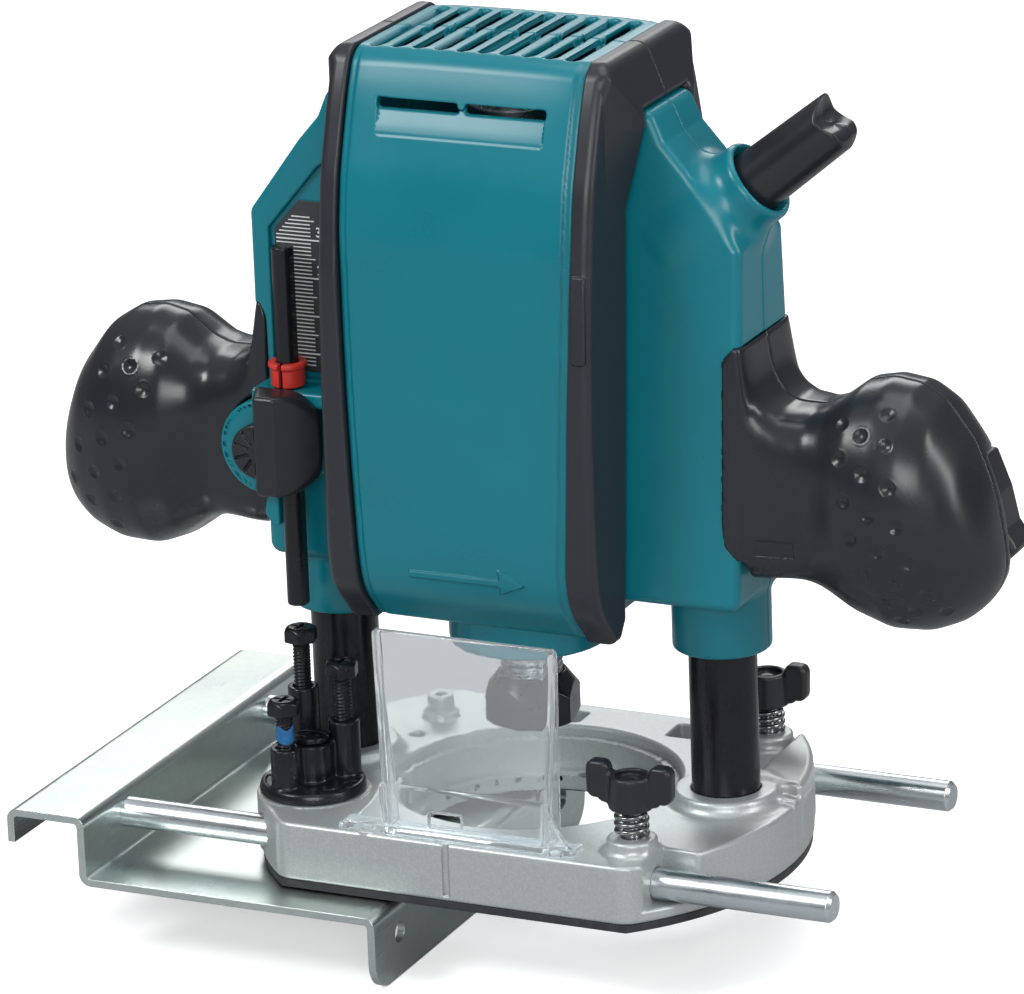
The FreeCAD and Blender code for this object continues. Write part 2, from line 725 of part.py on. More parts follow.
housing_solid = fuse(
    barrel,
    shoulder(1, "right_shoulder"),
    shoulder(-1, "left_shoulder"),
    *[cyl(13.0, 22, (side * dims.col_x, 0, dims.bush_low)) for side in SIDES],
    # rounded skirt under each shoulder
    *[cyl(14.6, 6.0, (side * dims.col_x, 0, 70.2)) for side in SIDES],
    *[side_span(side, 28, dims.col_x, -14.6, 14.6, 70.2, 76.0) for side in SIDES],
    # spindle nose
    cyl(dims.nose_rad, 18, (0, 0, 57.0)),
    cone(17.5, dims.nose_rad, 2.0, (0, 0, 55.0)),
    loft("right_core", CORE, 1),
    loft("left_core", CORE, -1),
    # cord socket
    cyl(10.8, 14.0, CORD_START, ALONG_CORD),
    # raised block that carries the depth scale
    span(-64.6, -38.0, -15.2, 0, 119.0, 172.0),
    # boss of the pole clamp and the guides of the pole
    clamp_cyl(12.5, 20.0, -24.0),
    span(-63.5, -43.0, -26.4, -10.0, 119.5, 123.5),
    span(-60.0, -50.0, -24.6, -10.0, 98.8, 104.0),
)
# the cavity leaves the upper bearing seat and four ribs that hold it
cavity_tool = cut(
    cavity,
    cut(cyl(13.6, 12.5, (0, 0, 187.5)), cyl(11.02, 7.1, (0, 0, 189.95))),
    cut(span(-BIG, BIG, -3, 3, 187.5, 200), cyl(13, 40, (0, 0, 170))),
    cut(span(-3, 3, -BIG, BIG, 187.5, 200), cyl(13, 40, (0, 0, 170))),
)
shell = cut(
    housing_solid,
    cavity_tool,
    cyl(4.6, 20, (0, 0, 180.0)),
    # column bores
    *[cyl(dims.bush_rad + 0.02, 81.0, (side * dims.col_x, 0, 50)) for side in SIDES],
    *[cyl(9.3, dims.bore_top - 60, (side * dims.col_x, 0, 60)) for side in SIDES],
    # lower bearing seat and spindle opening
    cyl(17.52, 40, (0, 0, 58.0)),
    cyl(10.0, 40, (0, 0, 50.0)),
    loft("right_hollow", HOLLOW, 1),
    loft("left_hollow", HOLLOW, -1),
    cyl(dims.pole_rad + 0.08, 140, (*POLE, 60)),
    clamp_cyl(2.55, 30, -30.0),
    # cord bores
    cyl(8.1, 40, CORD_START, ALONG_CORD),
    cyl(3.0, 30, (28.0, 0, 153.3), ALONG_CORD),
    # hole of the lever screw
    cyl(3.05, 30, (-dims.col_x, 3, LEVER_Z), ALONG_Y),
    # slots through the top, then two through the front face
    *[
        span(-28.4 + 5.9 * i, -25.6 + 5.9 * i, y0, y1, 205, 220)
        for y0, y1 in ((-21.0, -2.6), (2.6, 18.5))
        for i in range(10)
    ],
    span(-22.5, -0.8, -50, -16, 201.0, 203.7),
    span(0.8, 22.5, -50, -16, 201.0, 203.7),
    *[cyl(2.0, seat - tip, (x, tip, z), ALONG_Y) for x, z, seat, tip in SCREWS],
    *[cyl(4.0, 40, (x, seat, z), ALONG_Y) for x, z, seat, _ in SCREWS],
)

# corner trims: the barrel's side view less its bottom point, just outside the barrel
for side, name in zip(SIDES, ("left_trim", "right_trim")):
    trim = prism(
        name, "YZ_Plane", both(FACE[:-1] + TRIM_INNER),
        dims.trim_half - dims.core_half - 0.02,
        centre=side * (dims.core_half + dims.trim_half) * 0.5,
    )
    node(trim, name)

node(common(shell, front_half()), "front_housing")
parting = span(-BIG, BIG, -0.02, 0.02, -100, 400)
node(cut(common(shell, rear_half()), *trigger_openings(), parting), "rear_housing")

for side, name in zip(SIDES, ("left", "right")):
    skin = cut(
        loft(name + "_knob", KNOB, side),
        loft(name + "_fill", CORE, side),
        side_span(side, 53.28, dims.shoulder_x + 0.02, -60, 60, 0, 250),
        *[cyl(4.0, 60, (x, seat, z), ALONG_Y) for x, z, seat, _ in SCREWS if abs(x) > 60],
    )
    front_skin = common(skin, front_half(0.01))
    if side < 0:
        front_skin = cut(front_skin, clamp_cyl(12.6, 30, -30.0))
    node(front_skin, "front_" + name + "_grip")
    rear_skin = common(skin, rear_half(0.01))
    if side > 0:
        rear_skin = cut(rear_skin, *trigger_openings())
    node(rear_skin, "rear_" + name + "_grip")


def housing_screw(x, z, seat, tip):
    head = cyl(3.6, 2.6, (x, seat, z), ALONG_Y)
    return fuse(head, cyl(1.97, seat - tip - 0.5, (x, tip + 0.6, z), ALONG_Y))


def column_bush(x, z):
    return cut(cyl(dims.bush_rad, 18, (x, 0, z)), cyl(dims.col_rad + 0.05, 60, (x, 0, z - 20)))


node(group(*[housing_screw(*screw) for screw in SCREWS]), "housing_screws")
node(span(-60.2, -46.2, -16.2, -15.5, 126.0, 171.0), "depth_scale")
bushes = [column_bush(side * dims.col_x, z) for side in SIDES for z in (60.2, 112.0)]
node(group(*bushes), "column_bushes")

# tapered boot with the cord inside
BOOT = [(3.56, 0.0), (8.0, 0.0), (8.0, 6.0), (7.3, 40.0), (3.56, 40.0)]
node(turned("boot", BOOT, CORD_START + CORD_DIRECTION * 2.0, ALONG_CORD), "cord_guard")
node(cyl(3.5, 41.8, CORD_START + CORD_DIRECTION * 0.2, ALONG_CORD), "power_cord")

# ==== motor, fixed parts ==================================================
LOWER_BEARING = (58.0, 69.0)  # bottom and top
UPPER_BEARING = (190.0, 197.0)
outer_rings = (tube(17.48, 14.85, *LOWER_BEARING), tube(11.0, 9.25, *UPPER_BEARING))
node(group(*outer_rings), "bearing_outer_rings")
node(tube(21.5, 13.0, 72.05, 74.0), "bearing_retainer")
baffle = span(-28.3, 28.3, -28.0, 28.0, 99.0, 101.0)
node(cut(baffle, cyl(20.5, 10, (0, 0, 95))), "fan_baffle")
stator = cut(
    common(span(-27.6, 27.6, -27.6, 27.6, 111.0, 157.0), cyl(35.0, 60, (0, 0, 105))),
    cyl(17.8, 80, (0, 0, 100)),
    *[span(-24, 24, side * 17 - 3, side * 17 + 3, 100, 170) for side in SIDES],
)
node(stator, "stator_core")


def field_coil(side):
    """A curved winding frame, open where the stator core passes."""
    outer = cut(cyl(24.5, 68, (0, 0, 102.5)), cyl(18.4, 90, (0, 0, 90)))
    layer = span(-22, 22, side * 17 - 2.8, side * 17 + 2.8, 102.5, 170)
    return cut(common(outer, layer), span(-15, 15, -40, 40, 110.9, 157.1))


def brush_holder(side):
    block = side_span(side, 13.6, 27.8, -5, 5, 173.0, 182.0)
    return cut(block, side_span(side, 10, 27, -3.2, 3.2, 174.6, 180.4))


node(group(field_coil(1), field_coil(-1)), "field_coils")
node(group(*[brush_holder(side) for side in SIDES]), "brush_holders")
brushes = [side_span(side, 12.6, 23, -3.1, 3.1, 174.7, 180.3) for side in SIDES]
node(group(*brushes), "carbon_brushes")
node(span(86.0, 106.5, -6.0, 7.5, 93.0, 112.0), "switch_unit")

# ==== spindle and collet ==================================================
# Profiles of (radius, height)
SHAFT = [
    (6.6, 38.4), (dims.thread_rad, 38.4), (dims.thread_rad, dims.nut_high),
    (7.2, dims.nut_high), (7.2, 57.0), (7.45, 57.0), (7.45, 70.0), (9.0, 70.0), (9.0, 75.0),
    (5.5, 75.0), (5.5, 187.0), (3.97, 187.0), (3.97, 198.5), (0, 198.5),
    (0, 70.0), (4.2, 68.0), (4.2, 53.4), (5.4, 53.4),
]
COLLET = [
    (dims.shank_rad, 35.6), (5.6, 35.6), (6.5, 36.8), (6.5, 38.4),
    (6.56, 38.42), (5.37, 53.3), (dims.shank_rad, 53.3),
]
NUT_SHAPE = [
    (0, dims.nut_low), (10.8, dims.nut_low), (12.8, dims.nut_low + 1.4),
    (12.8, dims.nut_high - 3.2), (9.8, dims.nut_high), (0, dims.nut_high),
]
thread_bore = dims.thread_rad + 0.06
NUT_BORE = [
    (0, 25), (4.7, 25), (4.7, 35.55), (6.6, 35.55), (6.6, 38.3),
    (thread_bore, 38.3), (thread_bore, 60), (0, 60),
]
# two flats on the shaft, above the nut
flats = [side_span(side, 6.25, 9, -9, 9, dims.nut_high + 0.6, 55.5) for side in SIDES]
node(cut(turned("shaft", SHAFT), *flats), "rotor_shaft")
slits = [span(0, 10, -0.4, 0.4, 32, 48.4, angle) for angle in (30, 150, 270)]
node(cut(turned("collet", COLLET), *slits), "collet_cone")
nut_height = dims.nut_high - dims.nut_low - 0.3
nut_hex = hexagon("nut_hex", dims.nut_flats, nut_height, (0, 0, dims.nut_low), 12)
nut = common(nut_hex, turned("nut_shape", NUT_SHAPE))
node(cut(nut, turned("nut_bore", NUT_BORE)), "collet_nut")

# ==== rotor ===============================================================
inner_rings = (tube(10.15, 7.5, *LOWER_BEARING), tube(5.8, 4.0, *UPPER_BEARING))
node(group(*inner_rings), "bearing_inner_rings")


def ball_ring(count, radius, circle, z):
    steps = [i * math.tau / count for i in range(count)]
    return [ball(radius, (circle * math.cos(a), circle * math.sin(a), z)) for a in steps]


node(group(*ball_ring(8, 2.3, 12.5, 63.5), *ball_ring(7, 1.68, 7.52, 193.5)), "bearing_balls")
armature_slots = [span(12.0, 20.0, -1.0, 1.0, 100, 170, 30 * i) for i in range(12)]
node(cut(tube(17.2, 5.52, 110.0, 158.0), *armature_slots), "armature_core")
END_TURNS_LOW = [(6.4, 103.0), (12.0, 103.0), (15.6, 106.0), (15.6, 109.9), (6.4, 109.9)]
END_TURNS_HIGH = [(6.4, 158.1), (15.6, 158.1), (15.6, 162.0), (12.0, 166.0), (6.4, 166.0)]
end_turns = (turned("end_turns_low", END_TURNS_LOW), turned("end_turns_high", END_TURNS_HIGH))
node(group(*end_turns), "armature_windings")
node(tube(12.5, 5.52, 171.0, 184.0), "commutator")

FAN_DISC = [(5.52, 84.0), (9.0, 84.0), (9.0, 94.0), (25.0, 95.5), (25.0, 97.0), (5.52, 97.0)]
FAN_BLADE = [(8.5, -0.8), (24.6, 3.0), (24.6, 4.4), (8.5, 0.8)]  # (x, y)
BLADES = 14


def cooling_fan():
    body = new_body("fan")
    revolve(body, FAN_DISC)
    profile = new_sketch(body, "XY_Plane", 85.5)
    outline(profile, FAN_BLADE)
    blade = extrude(body, "Pad", profile, 10.2)
    doc.recompute()
    pattern = body.newObject("PartDesign::PolarPattern", "blades")
    pattern.Originals = [blade]
    pattern.Axis = (origin_feature(body, "Z_Axis"), [""])
    pattern.Angle, pattern.Occurrences = 360, BLADES
    body.Tip = pattern
    return body


node(cooling_fan(), "cooling_fan")


# ==== depth stop ==========================================================
def stopper_pole():
    """A round pole with a flat along its right side."""
    body = new_body("pole")
    profile = new_sketch(body, "XY_Plane", dims.pole_low)
    ring(profile, 0, 0, dims.pole_rad)
    extrude(body, "Pad", profile, dims.pole_len)
    doc.recompute()
    flat = new_sketch(body, "XY_Plane", dims.pole_low + 3)
    outline(flat, [(2.45, -4.0), (4.0, -4.0), (4.0, 4.0), (2.45, 4.0)])
    extrude(body, "Pocket", flat, 90, reverse=True)
    return place(body, (*POLE, 0))


node(stopper_pole(), "stopper_pole")
pointer = cut(
    fuse(cyl(4.4, 5.0, (*POLE, 123.9)), cyl(5.0, 1.5, (*POLE, 128.8))),
    cyl(dims.pole_rad + 0.05, 20, (*POLE, 120.0)),
    span(dims.pole_x - 0.5, dims.pole_x + 0.5, dims.pole_y - 8, dims.pole_y, 120, 140),
)
node(pointer, "depth_pointer")

# (x, y) plan of the clamp knob's wing
CLAMP_WING = [
    (-62.6, -27.0), (-58.4, -36.0), (-53.0, -36.0), (-43.6, -28.4), (-43.6, -27.0),
]
clamp_wing = common(
    prism("clamp_wing", "XY_Plane", CLAMP_WING, 26.5, start=98.0),
    cyl(15.0, 20, (-57.0, -40.0, 111.2), ALONG_Y),
)
node(fuse(clamp_wing, clamp_cyl(7.2, 2.45, -27.1)), "clamp_knob")
node(clamp_cyl(2.5, 14.6, -24.63), "clamp_screw")

# ==== controls ============================================================
# (x, z) outlines
TRIGGER = [
    (114.0, 87.5), (127.5, 87.5), (130.6, 90.6), (130.2, 92.6),
    (128.0, 95.0), (126.6, 104.0), (122.0, 114.4), (114.0, 114.4),
]
LEVER_ARM = [
    (-56.0, 94.0), (-50.0, 107.0), (-72.0, 126.0), (-81.0, 130.0), (-80.0, 123.0), (-72.0, 114.0),
]


def lever_cyl(radius, length, y):
    """A cylinder on the axis of the lock lever."""
    return cyl(radius, length, (-dims.col_x, y, LEVER_Z), ALONG_Y)


node(prism("trigger", "XZ_Plane", TRIGGER, 12.5, start=-16.5), "switch_trigger")
button = cyl(4.5, 8.5, (LOCK_X, 16.0, LOCK_Z), ALONG_Y)
node(fuse(button, cyl(2.0, 6.0, (LOCK_X, 11.0, LOCK_Z), ALONG_Y)), "lock_button")
lever_arm = prism("lever_arm", "XZ_Plane", LEVER_ARM, 4.0, start=-27.6)
node(cut(fuse(lever_cyl(7.5, 6.0, 21.6), lever_arm), lever_cyl(3.0, 40, 0)), "lock_lever")
node(fuse(lever_cyl(2.97, 19.0, 9.1), lever_cyl(4.6, 2.6, 27.65)), "lock_screw")
CORD_RING = [(3.56, 0.2), (6.4, 0.2), (6.4, 1.8), (3.56, 1.8)]
node(turned("cord_ring", CORD_RING, CORD_START, ALONG_CORD), "cord_clamp")

doc.recompute()

# ==== checks and export ===================================================
failed = [o.Label for o in doc.Objects if "Invalid" in o.State or "Error" in o.State]
if failed:
    raise RuntimeError("failed objects: %s" % failed)
for obj in NODES:
    shape = obj.Shape
    if shape.isNull() or not shape.isValid() or not shape.Solids or shape.Volume <= 0:
        raise RuntimeError("bad shape: %s" % obj.Label)
if len({obj.Label for obj in NODES}) != len(NODES) or len(NODES) > 60:
    raise RuntimeError("node names clash or there are too many: %d" % len(NODES))
for obj in NODES:
    obj.Shape.exportStep("parts/%s.step" % obj.Label)
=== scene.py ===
"""Looks of a plunge router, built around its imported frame.

The spindle is the Z axis, Z is up, the front is -Y, and the grips reach out to -X (left) and +X.
Lengths are millimetres until a mesh is made, and metres in Blender.
Shapes are distance fields: zero on the surface and negative inside.
"""

import math

import bmesh
import bpy
import numpy as np
from mathutils import Matrix, Vector
from mathutils.bvhtree import BVHTree


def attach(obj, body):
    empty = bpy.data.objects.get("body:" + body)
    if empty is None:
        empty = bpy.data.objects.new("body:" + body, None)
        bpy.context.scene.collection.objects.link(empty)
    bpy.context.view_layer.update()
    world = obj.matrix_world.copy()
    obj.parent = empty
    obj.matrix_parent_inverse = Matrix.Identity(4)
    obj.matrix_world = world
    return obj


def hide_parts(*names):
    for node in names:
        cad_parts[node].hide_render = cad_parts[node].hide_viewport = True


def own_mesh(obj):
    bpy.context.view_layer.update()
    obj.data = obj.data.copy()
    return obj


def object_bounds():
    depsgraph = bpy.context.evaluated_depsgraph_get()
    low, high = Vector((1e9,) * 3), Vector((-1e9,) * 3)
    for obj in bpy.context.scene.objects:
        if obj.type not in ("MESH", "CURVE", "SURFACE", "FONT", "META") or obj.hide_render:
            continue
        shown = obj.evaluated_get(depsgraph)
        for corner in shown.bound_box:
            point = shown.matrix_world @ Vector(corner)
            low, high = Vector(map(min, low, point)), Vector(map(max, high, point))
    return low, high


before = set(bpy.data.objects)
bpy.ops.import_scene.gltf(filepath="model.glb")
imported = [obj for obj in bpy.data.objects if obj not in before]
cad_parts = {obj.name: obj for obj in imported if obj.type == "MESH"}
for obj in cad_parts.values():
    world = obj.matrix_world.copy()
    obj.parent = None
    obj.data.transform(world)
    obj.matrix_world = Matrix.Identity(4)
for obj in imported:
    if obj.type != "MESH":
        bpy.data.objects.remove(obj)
CAD_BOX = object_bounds()
COARSE = 1.0
MM = 0.001
BLOCK = 8  # cells along a side of a sampling block

# Axes that several pieces share
ORIGIN = (0.0, 0.0)
COLUMN_X = 53.3
COLUMN = (COLUMN_X, 0.0)  # x, y
ROD_Y, ROD_Z = 40.6, 9.5
WING_BOLTS = {"front": (45.0, -ROD_Y), "rear": (48.0, ROD_Y)}  # x, y
TURRET = (-49.9, -28.7)  # x, y
POST_CIRCLE = 8.8
POLE = (-55.3, -21.6)  # x, y
GUARD_PINS = ((-24.0, -48.6), (28.0, -48.6))  # x, y
CLAMP = (-62.0, 107.0)  # x, z
BUTTON = (98.0, 121.0)  # x, z
LEVER = (-COLUMN_X, 100.0)  # x, z
CORD_START = (56, 174)  # x, z
CORD_X, CORD_Z = 27 / 34.515, 21.5 / 34.515  # direction of the cord


# ---------------------------------------------------------------------------------------------
# Distance fields. The argument `edge` is always a rounding or fillet radius.
# x, y, z are a shape's own axes, so callers may pass the world's in another order.
def smooth_table(points, sigma):
    """A function through (position, value) points, smoothed by a Gaussian of width sigma."""
    step = 0.25
    stations, heights = np.array(points, float).T
    grid = np.arange(stations[0] - 40, stations[-1] + 40, step)
    reach = int(3 * sigma / step)
    weights = np.exp(-0.5 * (np.arange(-reach, reach + 1) * step / sigma) ** 2)
    padded = np.pad(np.interp(grid, stations, heights), reach, mode="edge")
    values = np.convolve(padded, weights / weights.sum(), mode="valid")
    return lambda x: np.interp(x, grid, values)


def meet(first, second, edge=0.0):
    """Overlap of two bodies."""
    if edge <= 0:
        return np.maximum(first, second)
    over = length(np.maximum(first + edge, 0), np.maximum(second + edge, 0))
    return np.minimum(np.maximum(first, second), -edge) + over


def join(first, second, edge):
    """Union of two bodies, filleted where they meet."""
    return -meet(-first, -second, edge)


def carve(body, tool, edge):
    return meet(body, -tool, edge)


def length(x, y):
    return np.sqrt(x * x + y * y)


def about(x, y, centre):
    """Coordinates from a centre, and the distance from it."""
    x, y = x - centre[0], y - centre[1]
    return x, y, length(x, y)


def slab(x, low, high):
    return np.abs(x - 0.5 * (low + high)) - 0.5 * (high - low)


def box(x, y, z, limits, edge=0.0):
    """A box (x0, x1, y0, y1, z0, z1)."""
    x = slab(x, *limits[:2]) + edge
    y = slab(y, *limits[2:4]) + edge
    z = slab(z, *limits[4:]) + edge
    out = np.sqrt(np.maximum(x, 0) ** 2 + np.maximum(y, 0) ** 2 + np.maximum(z, 0) ** 2)
    return out + np.minimum(np.maximum(np.maximum(x, y), z), 0) - edge


def drum(x, y, z, centre, radius, low, high, edge=0.0):
    """A cylinder along z."""
    return meet(about(x, y, centre)[2] - radius, slab(z, low, high), edge)


def shrink(points, inset):
    """A polygon's corners moved inwards."""
    count, corners = len(points), [Vector(p) for p in points]
    area = sum(corners[i - 1].x * corners[i].y - corners[i].x * corners[i - 1].y
               for i in range(count))
    sign = 1.0 if area > 0 else -1.0
    out = []
    for i in range(count):
        before = (corners[i] - corners[i - 1]).normalized()
        after = (corners[(i + 1) % count] - corners[i]).normalized()
        normal = Vector((-before.y, before.x)) * sign
        next_normal = Vector((-after.y, after.x)) * sign
        mitre = (normal + next_normal) / max(1.0 + normal.dot(next_normal), 0.2)
        out.append(tuple(corners[i] + mitre * inset))
    return out


def poly(x, y, points, edge=0.0):
    """Signed distance to a polygon with rounded convex corners."""
    if edge > 0:
        points = shrink(points, edge)
    nearest, sign = np.inf, np.ones(np.shape(x))
    for i in range(len(points)):
        (x0, y0), (x1, y1) = points[i], points[i - 1]
        side_x, side_y = x1 - x0, y1 - y0
        from_x, from_y = x - x0, y - y0
        dot = from_x * side_x + from_y * side_y
        along = np.clip(dot / (side_x * side_x + side_y * side_y), 0, 1)
        gap_x, gap_y = from_x - side_x * along, from_y - side_y * along
        nearest = np.minimum(nearest, gap_x * gap_x + gap_y * gap_y)
        above, below, turn = y >= y0, y < y1, side_x * from_y > side_y * from_x
        sign = np.where((above & below & turn) | ~(above | below | turn), -sign, sign)
    return sign * np.sqrt(nearest) - edge


def plate(x, y, z, points, low, high, edge=0.0, corner=0.0):
    return meet(poly(x, y, points, corner), slab(z, low, high), edge)


def hexagon(x, y, flats, turn):
    """A hexagon by its width across flats, turned by degrees."""
    out = None
    for k in range(3):
        angle = math.radians(turn) + k * math.pi / 3
        side = np.abs(x * math.cos(angle) + y * math.sin(angle)) - flats / 2
        out = side if out is None else meet(out, side, 0.25)
    return out


def thread(x, y, z, radius, depth, pitch):
    phase = np.mod(z / pitch - np.arctan2(y, x) / math.tau, 1.0)
    ridge = np.clip(np.abs(phase - 0.5) * 2.5 - 0.3, 0, 1)
    return (length(x, y) - radius + depth * (1 - ridge)) * 0.75


def cross(x, y, half_width, reach):
    """A cross-shaped recess."""
    x, y = np.abs(x), np.abs(y)
    return np.minimum(np.maximum(y - half_width, x - reach),
                      np.maximum(x - half_width, y - reach))


# ---------------------------------------------------------------------------------------------
# From field to mesh
def grid_points(*counts):
    axes = [np.arange(k) for k in counts]
    return np.stack(np.meshgrid(*axes, indexing="ij"), -1).reshape(-1, 3)


def slope(field, points, step):
    out = np.empty_like(points)
    for k in range(3):
        shift = np.zeros(3)
        shift[k] = step
        out[:, k] = (field(*(points + shift).T) - field(*(points - shift).T)) / (2 * step)
    return out


def sample(field, low, counts, cell, margin):
    """Field values at the grid corners of every block that may hold surface."""
    blocks = grid_points(*counts)
    centres = low + (blocks + 0.5) * BLOCK * cell
    limit = 0.5 * BLOCK * cell * math.sqrt(3) * 1.1 + margin
    blocks = blocks[np.abs(field(*centres.T)) < limit]
    side = BLOCK + 1
    local = grid_points(side, side, side)
    values = np.empty((len(blocks), side, side, side))
    for i in range(0, len(blocks), 400):  # in batches, to spare memory
        batch = blocks[i : i + 400]
        points = (low + (batch[:, None, :] * BLOCK + local[None]) * cell).reshape(-1, 3)
        values[i : i + 400] = field(*points.T).reshape(len(batch), side, side, side)
    return blocks, values


def surface_cells(blocks, values):
    """Grid index of each cell the surface crosses, and the mean crossing inside it."""
    inside = values < 0
    corners = np.array(list(np.ndindex(2, 2, 2)))
    count = sum(inside[:, a : BLOCK + a, b : BLOCK + b, c : BLOCK + c].astype(np.int8)
                for a, b, c in corners)
    cells = np.argwhere((count > 0) & (count < 8))
    at_corner = [values[cells[:, 0], cells[:, 1] + a, cells[:, 2] + b, cells[:, 3] + c]
                 for a, b, c in corners]
    total, number = np.zeros((len(cells), 3)), np.zeros(len(cells))
    for i in range(8):
        for j in range(i + 1, 8):
            edge = corners[j] - corners[i]
            if np.abs(edge).sum() != 1:
                continue
            start, end = at_corner[i], at_corner[j]
            crossed = (start < 0) != (end < 0)
            share = np.where(crossed, start / np.where(crossed, start - end, 1), 0)
            total += (corners[i] + share[:, None] * edge) * crossed[:, None]
            number += crossed
    return blocks[cells[:, 0]] * BLOCK + cells[:, 1:], total / number[:, None]


def surface_quads(blocks, values, index, counts):
    """One quad round each grid edge that the surface crosses."""
    size = np.array(counts) * BLOCK + 3

    def key(cells):
        return ((cells[:, 0] + 1) * size[1] + (cells[:, 1] + 1)) * size[2] + (cells[:, 2] + 1)

    keys = key(index)
    order = np.argsort(keys)
    sorted_keys = keys[order]

    def find(cells):
        wanted = key(cells)
        place = np.clip(np.searchsorted(sorted_keys, wanted), 0, len(sorted_keys) - 1)
        return np.where(sorted_keys[place] == wanted, order[place], -1)

    inside = values < 0
    near = inside[:, :BLOCK, :BLOCK, :BLOCK]
    unit = np.eye(3, dtype=int)
    quads = []
    for axis in range(3):
        a, b, c = unit[axis]
        edges = np.argwhere(near != inside[:, a : BLOCK + a, b : BLOCK + b, c : BLOCK + c])
        place = blocks[edges[:, 0]] * BLOCK + edges[:, 1:]
        side, up = unit[(axis + 1) % 3], unit[(axis + 2) % 3]
        around = (place - side - up, place - up, place, place - side)
        quad = np.stack([find(cells) for cells in around], 1)
        flip = ~near[tuple(edges.T)]
        quad[flip] = quad[flip][:, ::-1]
        quads.append(quad[(quad >= 0).all(1)])
    return np.concatenate(quads)


def field_mesh(field, low, high, cell, margin):
    """Closed mesh of a field's zero surface: vertices, quads and the surface's own normals."""
    cell = cell * COARSE
    low = np.array(low, float) - 0.37 * cell
    counts = [int(math.ceil((high[i] - low[i]) / (cell * BLOCK))) for i in range(3)]
    blocks, values = sample(field, low, counts, cell, margin)
    index, offset = surface_cells(blocks, values)
    verts = low + (index + offset) * cell
    quads = surface_quads(blocks, values, index, counts)
    start = verts.copy()
    for _ in range(3):  # pull the vertices onto the surface
        slopes = slope(field, verts, 0.02)
        steep = np.maximum((slopes * slopes).sum(1), 0.04)
        move = -(field(*verts.T) / steep)[:, None] * slopes
        far = np.linalg.norm(move, axis=1) / (0.5 * cell)
        verts += move / np.maximum(far, 1)[:, None]
        verts = np.clip(verts, start - 0.9 * cell, start + 0.9 * cell)
    slopes = slope(field, verts, 0.06)
    return verts, quads, slopes / np.maximum(np.linalg.norm(slopes, axis=1), 1e-9)[:, None]


def link(mesh, name):
    piece = bpy.data.objects.new(name, mesh)
    bpy.context.scene.collection.objects.link(piece)
    return piece


def settle(piece, unit, slot, cad_node=None, finish=None):
    """Gives a piece its finish (the slot's own by default) and moving unit, and hides the CAD node it
    stands in for.
    """
    piece.data.materials.append(FINISHES[finish or slot])
    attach(piece, unit)
    if cad_node:
        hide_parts(cad_node)
    return piece


def field_piece(name, field, low, high, cell, unit, slot, cad_node=None, *, margin,
                finish=None, after=None):
    """A piece meshed from a field. `margin` widens the search for fields that run short."""
    verts, quads, normals = field_mesh(field, low, high, cell, margin)
    if after is not None:
        verts, normals = after(verts, quads, normals)
    mesh = bpy.data.meshes.new(name)
    mesh.vertices.add(len(verts))
    mesh.vertices.foreach_set("co", (verts * MM).astype(np.float32).ravel())
    mesh.loops.add(len(quads) * 4)
    mesh.loops.foreach_set("vertex_index", quads.astype(np.int32).ravel())
    mesh.polygons.add(len(quads))
    mesh.polygons.foreach_set("loop_start", np.arange(0, len(quads) * 4, 4, dtype=np.int32))
    mesh.polygons.foreach_set("use_smooth", np.ones(len(quads), bool))
    mesh.update(calc_edges=True)
    mesh.validate(verbose=False)
    if len(mesh.vertices) == len(normals):
        mesh.normals_split_custom_set_from_vertices(normals.astype(np.float32))
    return settle(link(mesh, name), unit, slot, cad_node, finish)


def ring_piece(name, tubes, angle, unit, slot, cad_node=None, finish=None):
    """Capped tubes, each a list of equal rings of points, sharp above an angle in degrees."""
    verts, faces = [], []
    for loops in tubes:
        base, count = len(verts), len(loops[0])
        verts += [tuple(c * MM for c in point) for loop in loops for point in loop]
        for i in range(len(loops) - 1):
            for j in range(count):
                start, end = base + i * count + j, base + i * count + (j + 1) % count
                faces.append((start, end, end + count, start + count))
        faces.append(tuple(reversed(range(base, base + count))))
        faces.append(tuple(range(len(verts) - count, len(verts))))
    mesh = bpy.data.meshes.new(name)
    mesh.from_pydata(verts, [], faces)
    edit = bmesh.new()
    edit.from_mesh(mesh)
    bmesh.ops.remove_doubles(edit, verts=edit.verts, dist=1e-7)
    bmesh.ops.recalc_face_normals(edit, faces=edit.faces)
    edit.to_mesh(mesh)
    edit.free()
    mesh.polygons.foreach_set("use_smooth", [True] * len(mesh.polygons))
    mesh.set_sharp_from_angle(angle=math.radians(angle))
    return settle(link(mesh, name), unit, slot, cad_node, finish)


# ---------------------------------------------------------------------------------------------
# Materials: procedural, in object coordinates
FINISHES = {}


def srgb(colour):
    def linear(c):
        c /= 255.0
        return c / 12.92 if c <= 0.04045 else ((c + 0.055) / 1.055) ** 2.4

    return tuple(linear(c) for c in colour) + (1.0,)


def add_node(tree, kind, inputs=None, **settings):
    """A shader node; each input is given a value, or a socket to link from."""
    made = tree.nodes.new(kind)
    for name, value in settings.items():
        setattr(made, name, value)
    for socket, value in (inputs or {}).items():
        if hasattr(value, "is_output"):
            tree.links.new(value, made.inputs[socket])
        else:
            made.inputs[socket].default_value = value
    return made


def new_material(name):
    material = bpy.data.materials.new(name)
    material.use_nodes = True
    tree = material.node_tree
    return material, tree, tree.nodes["Principled BSDF"]


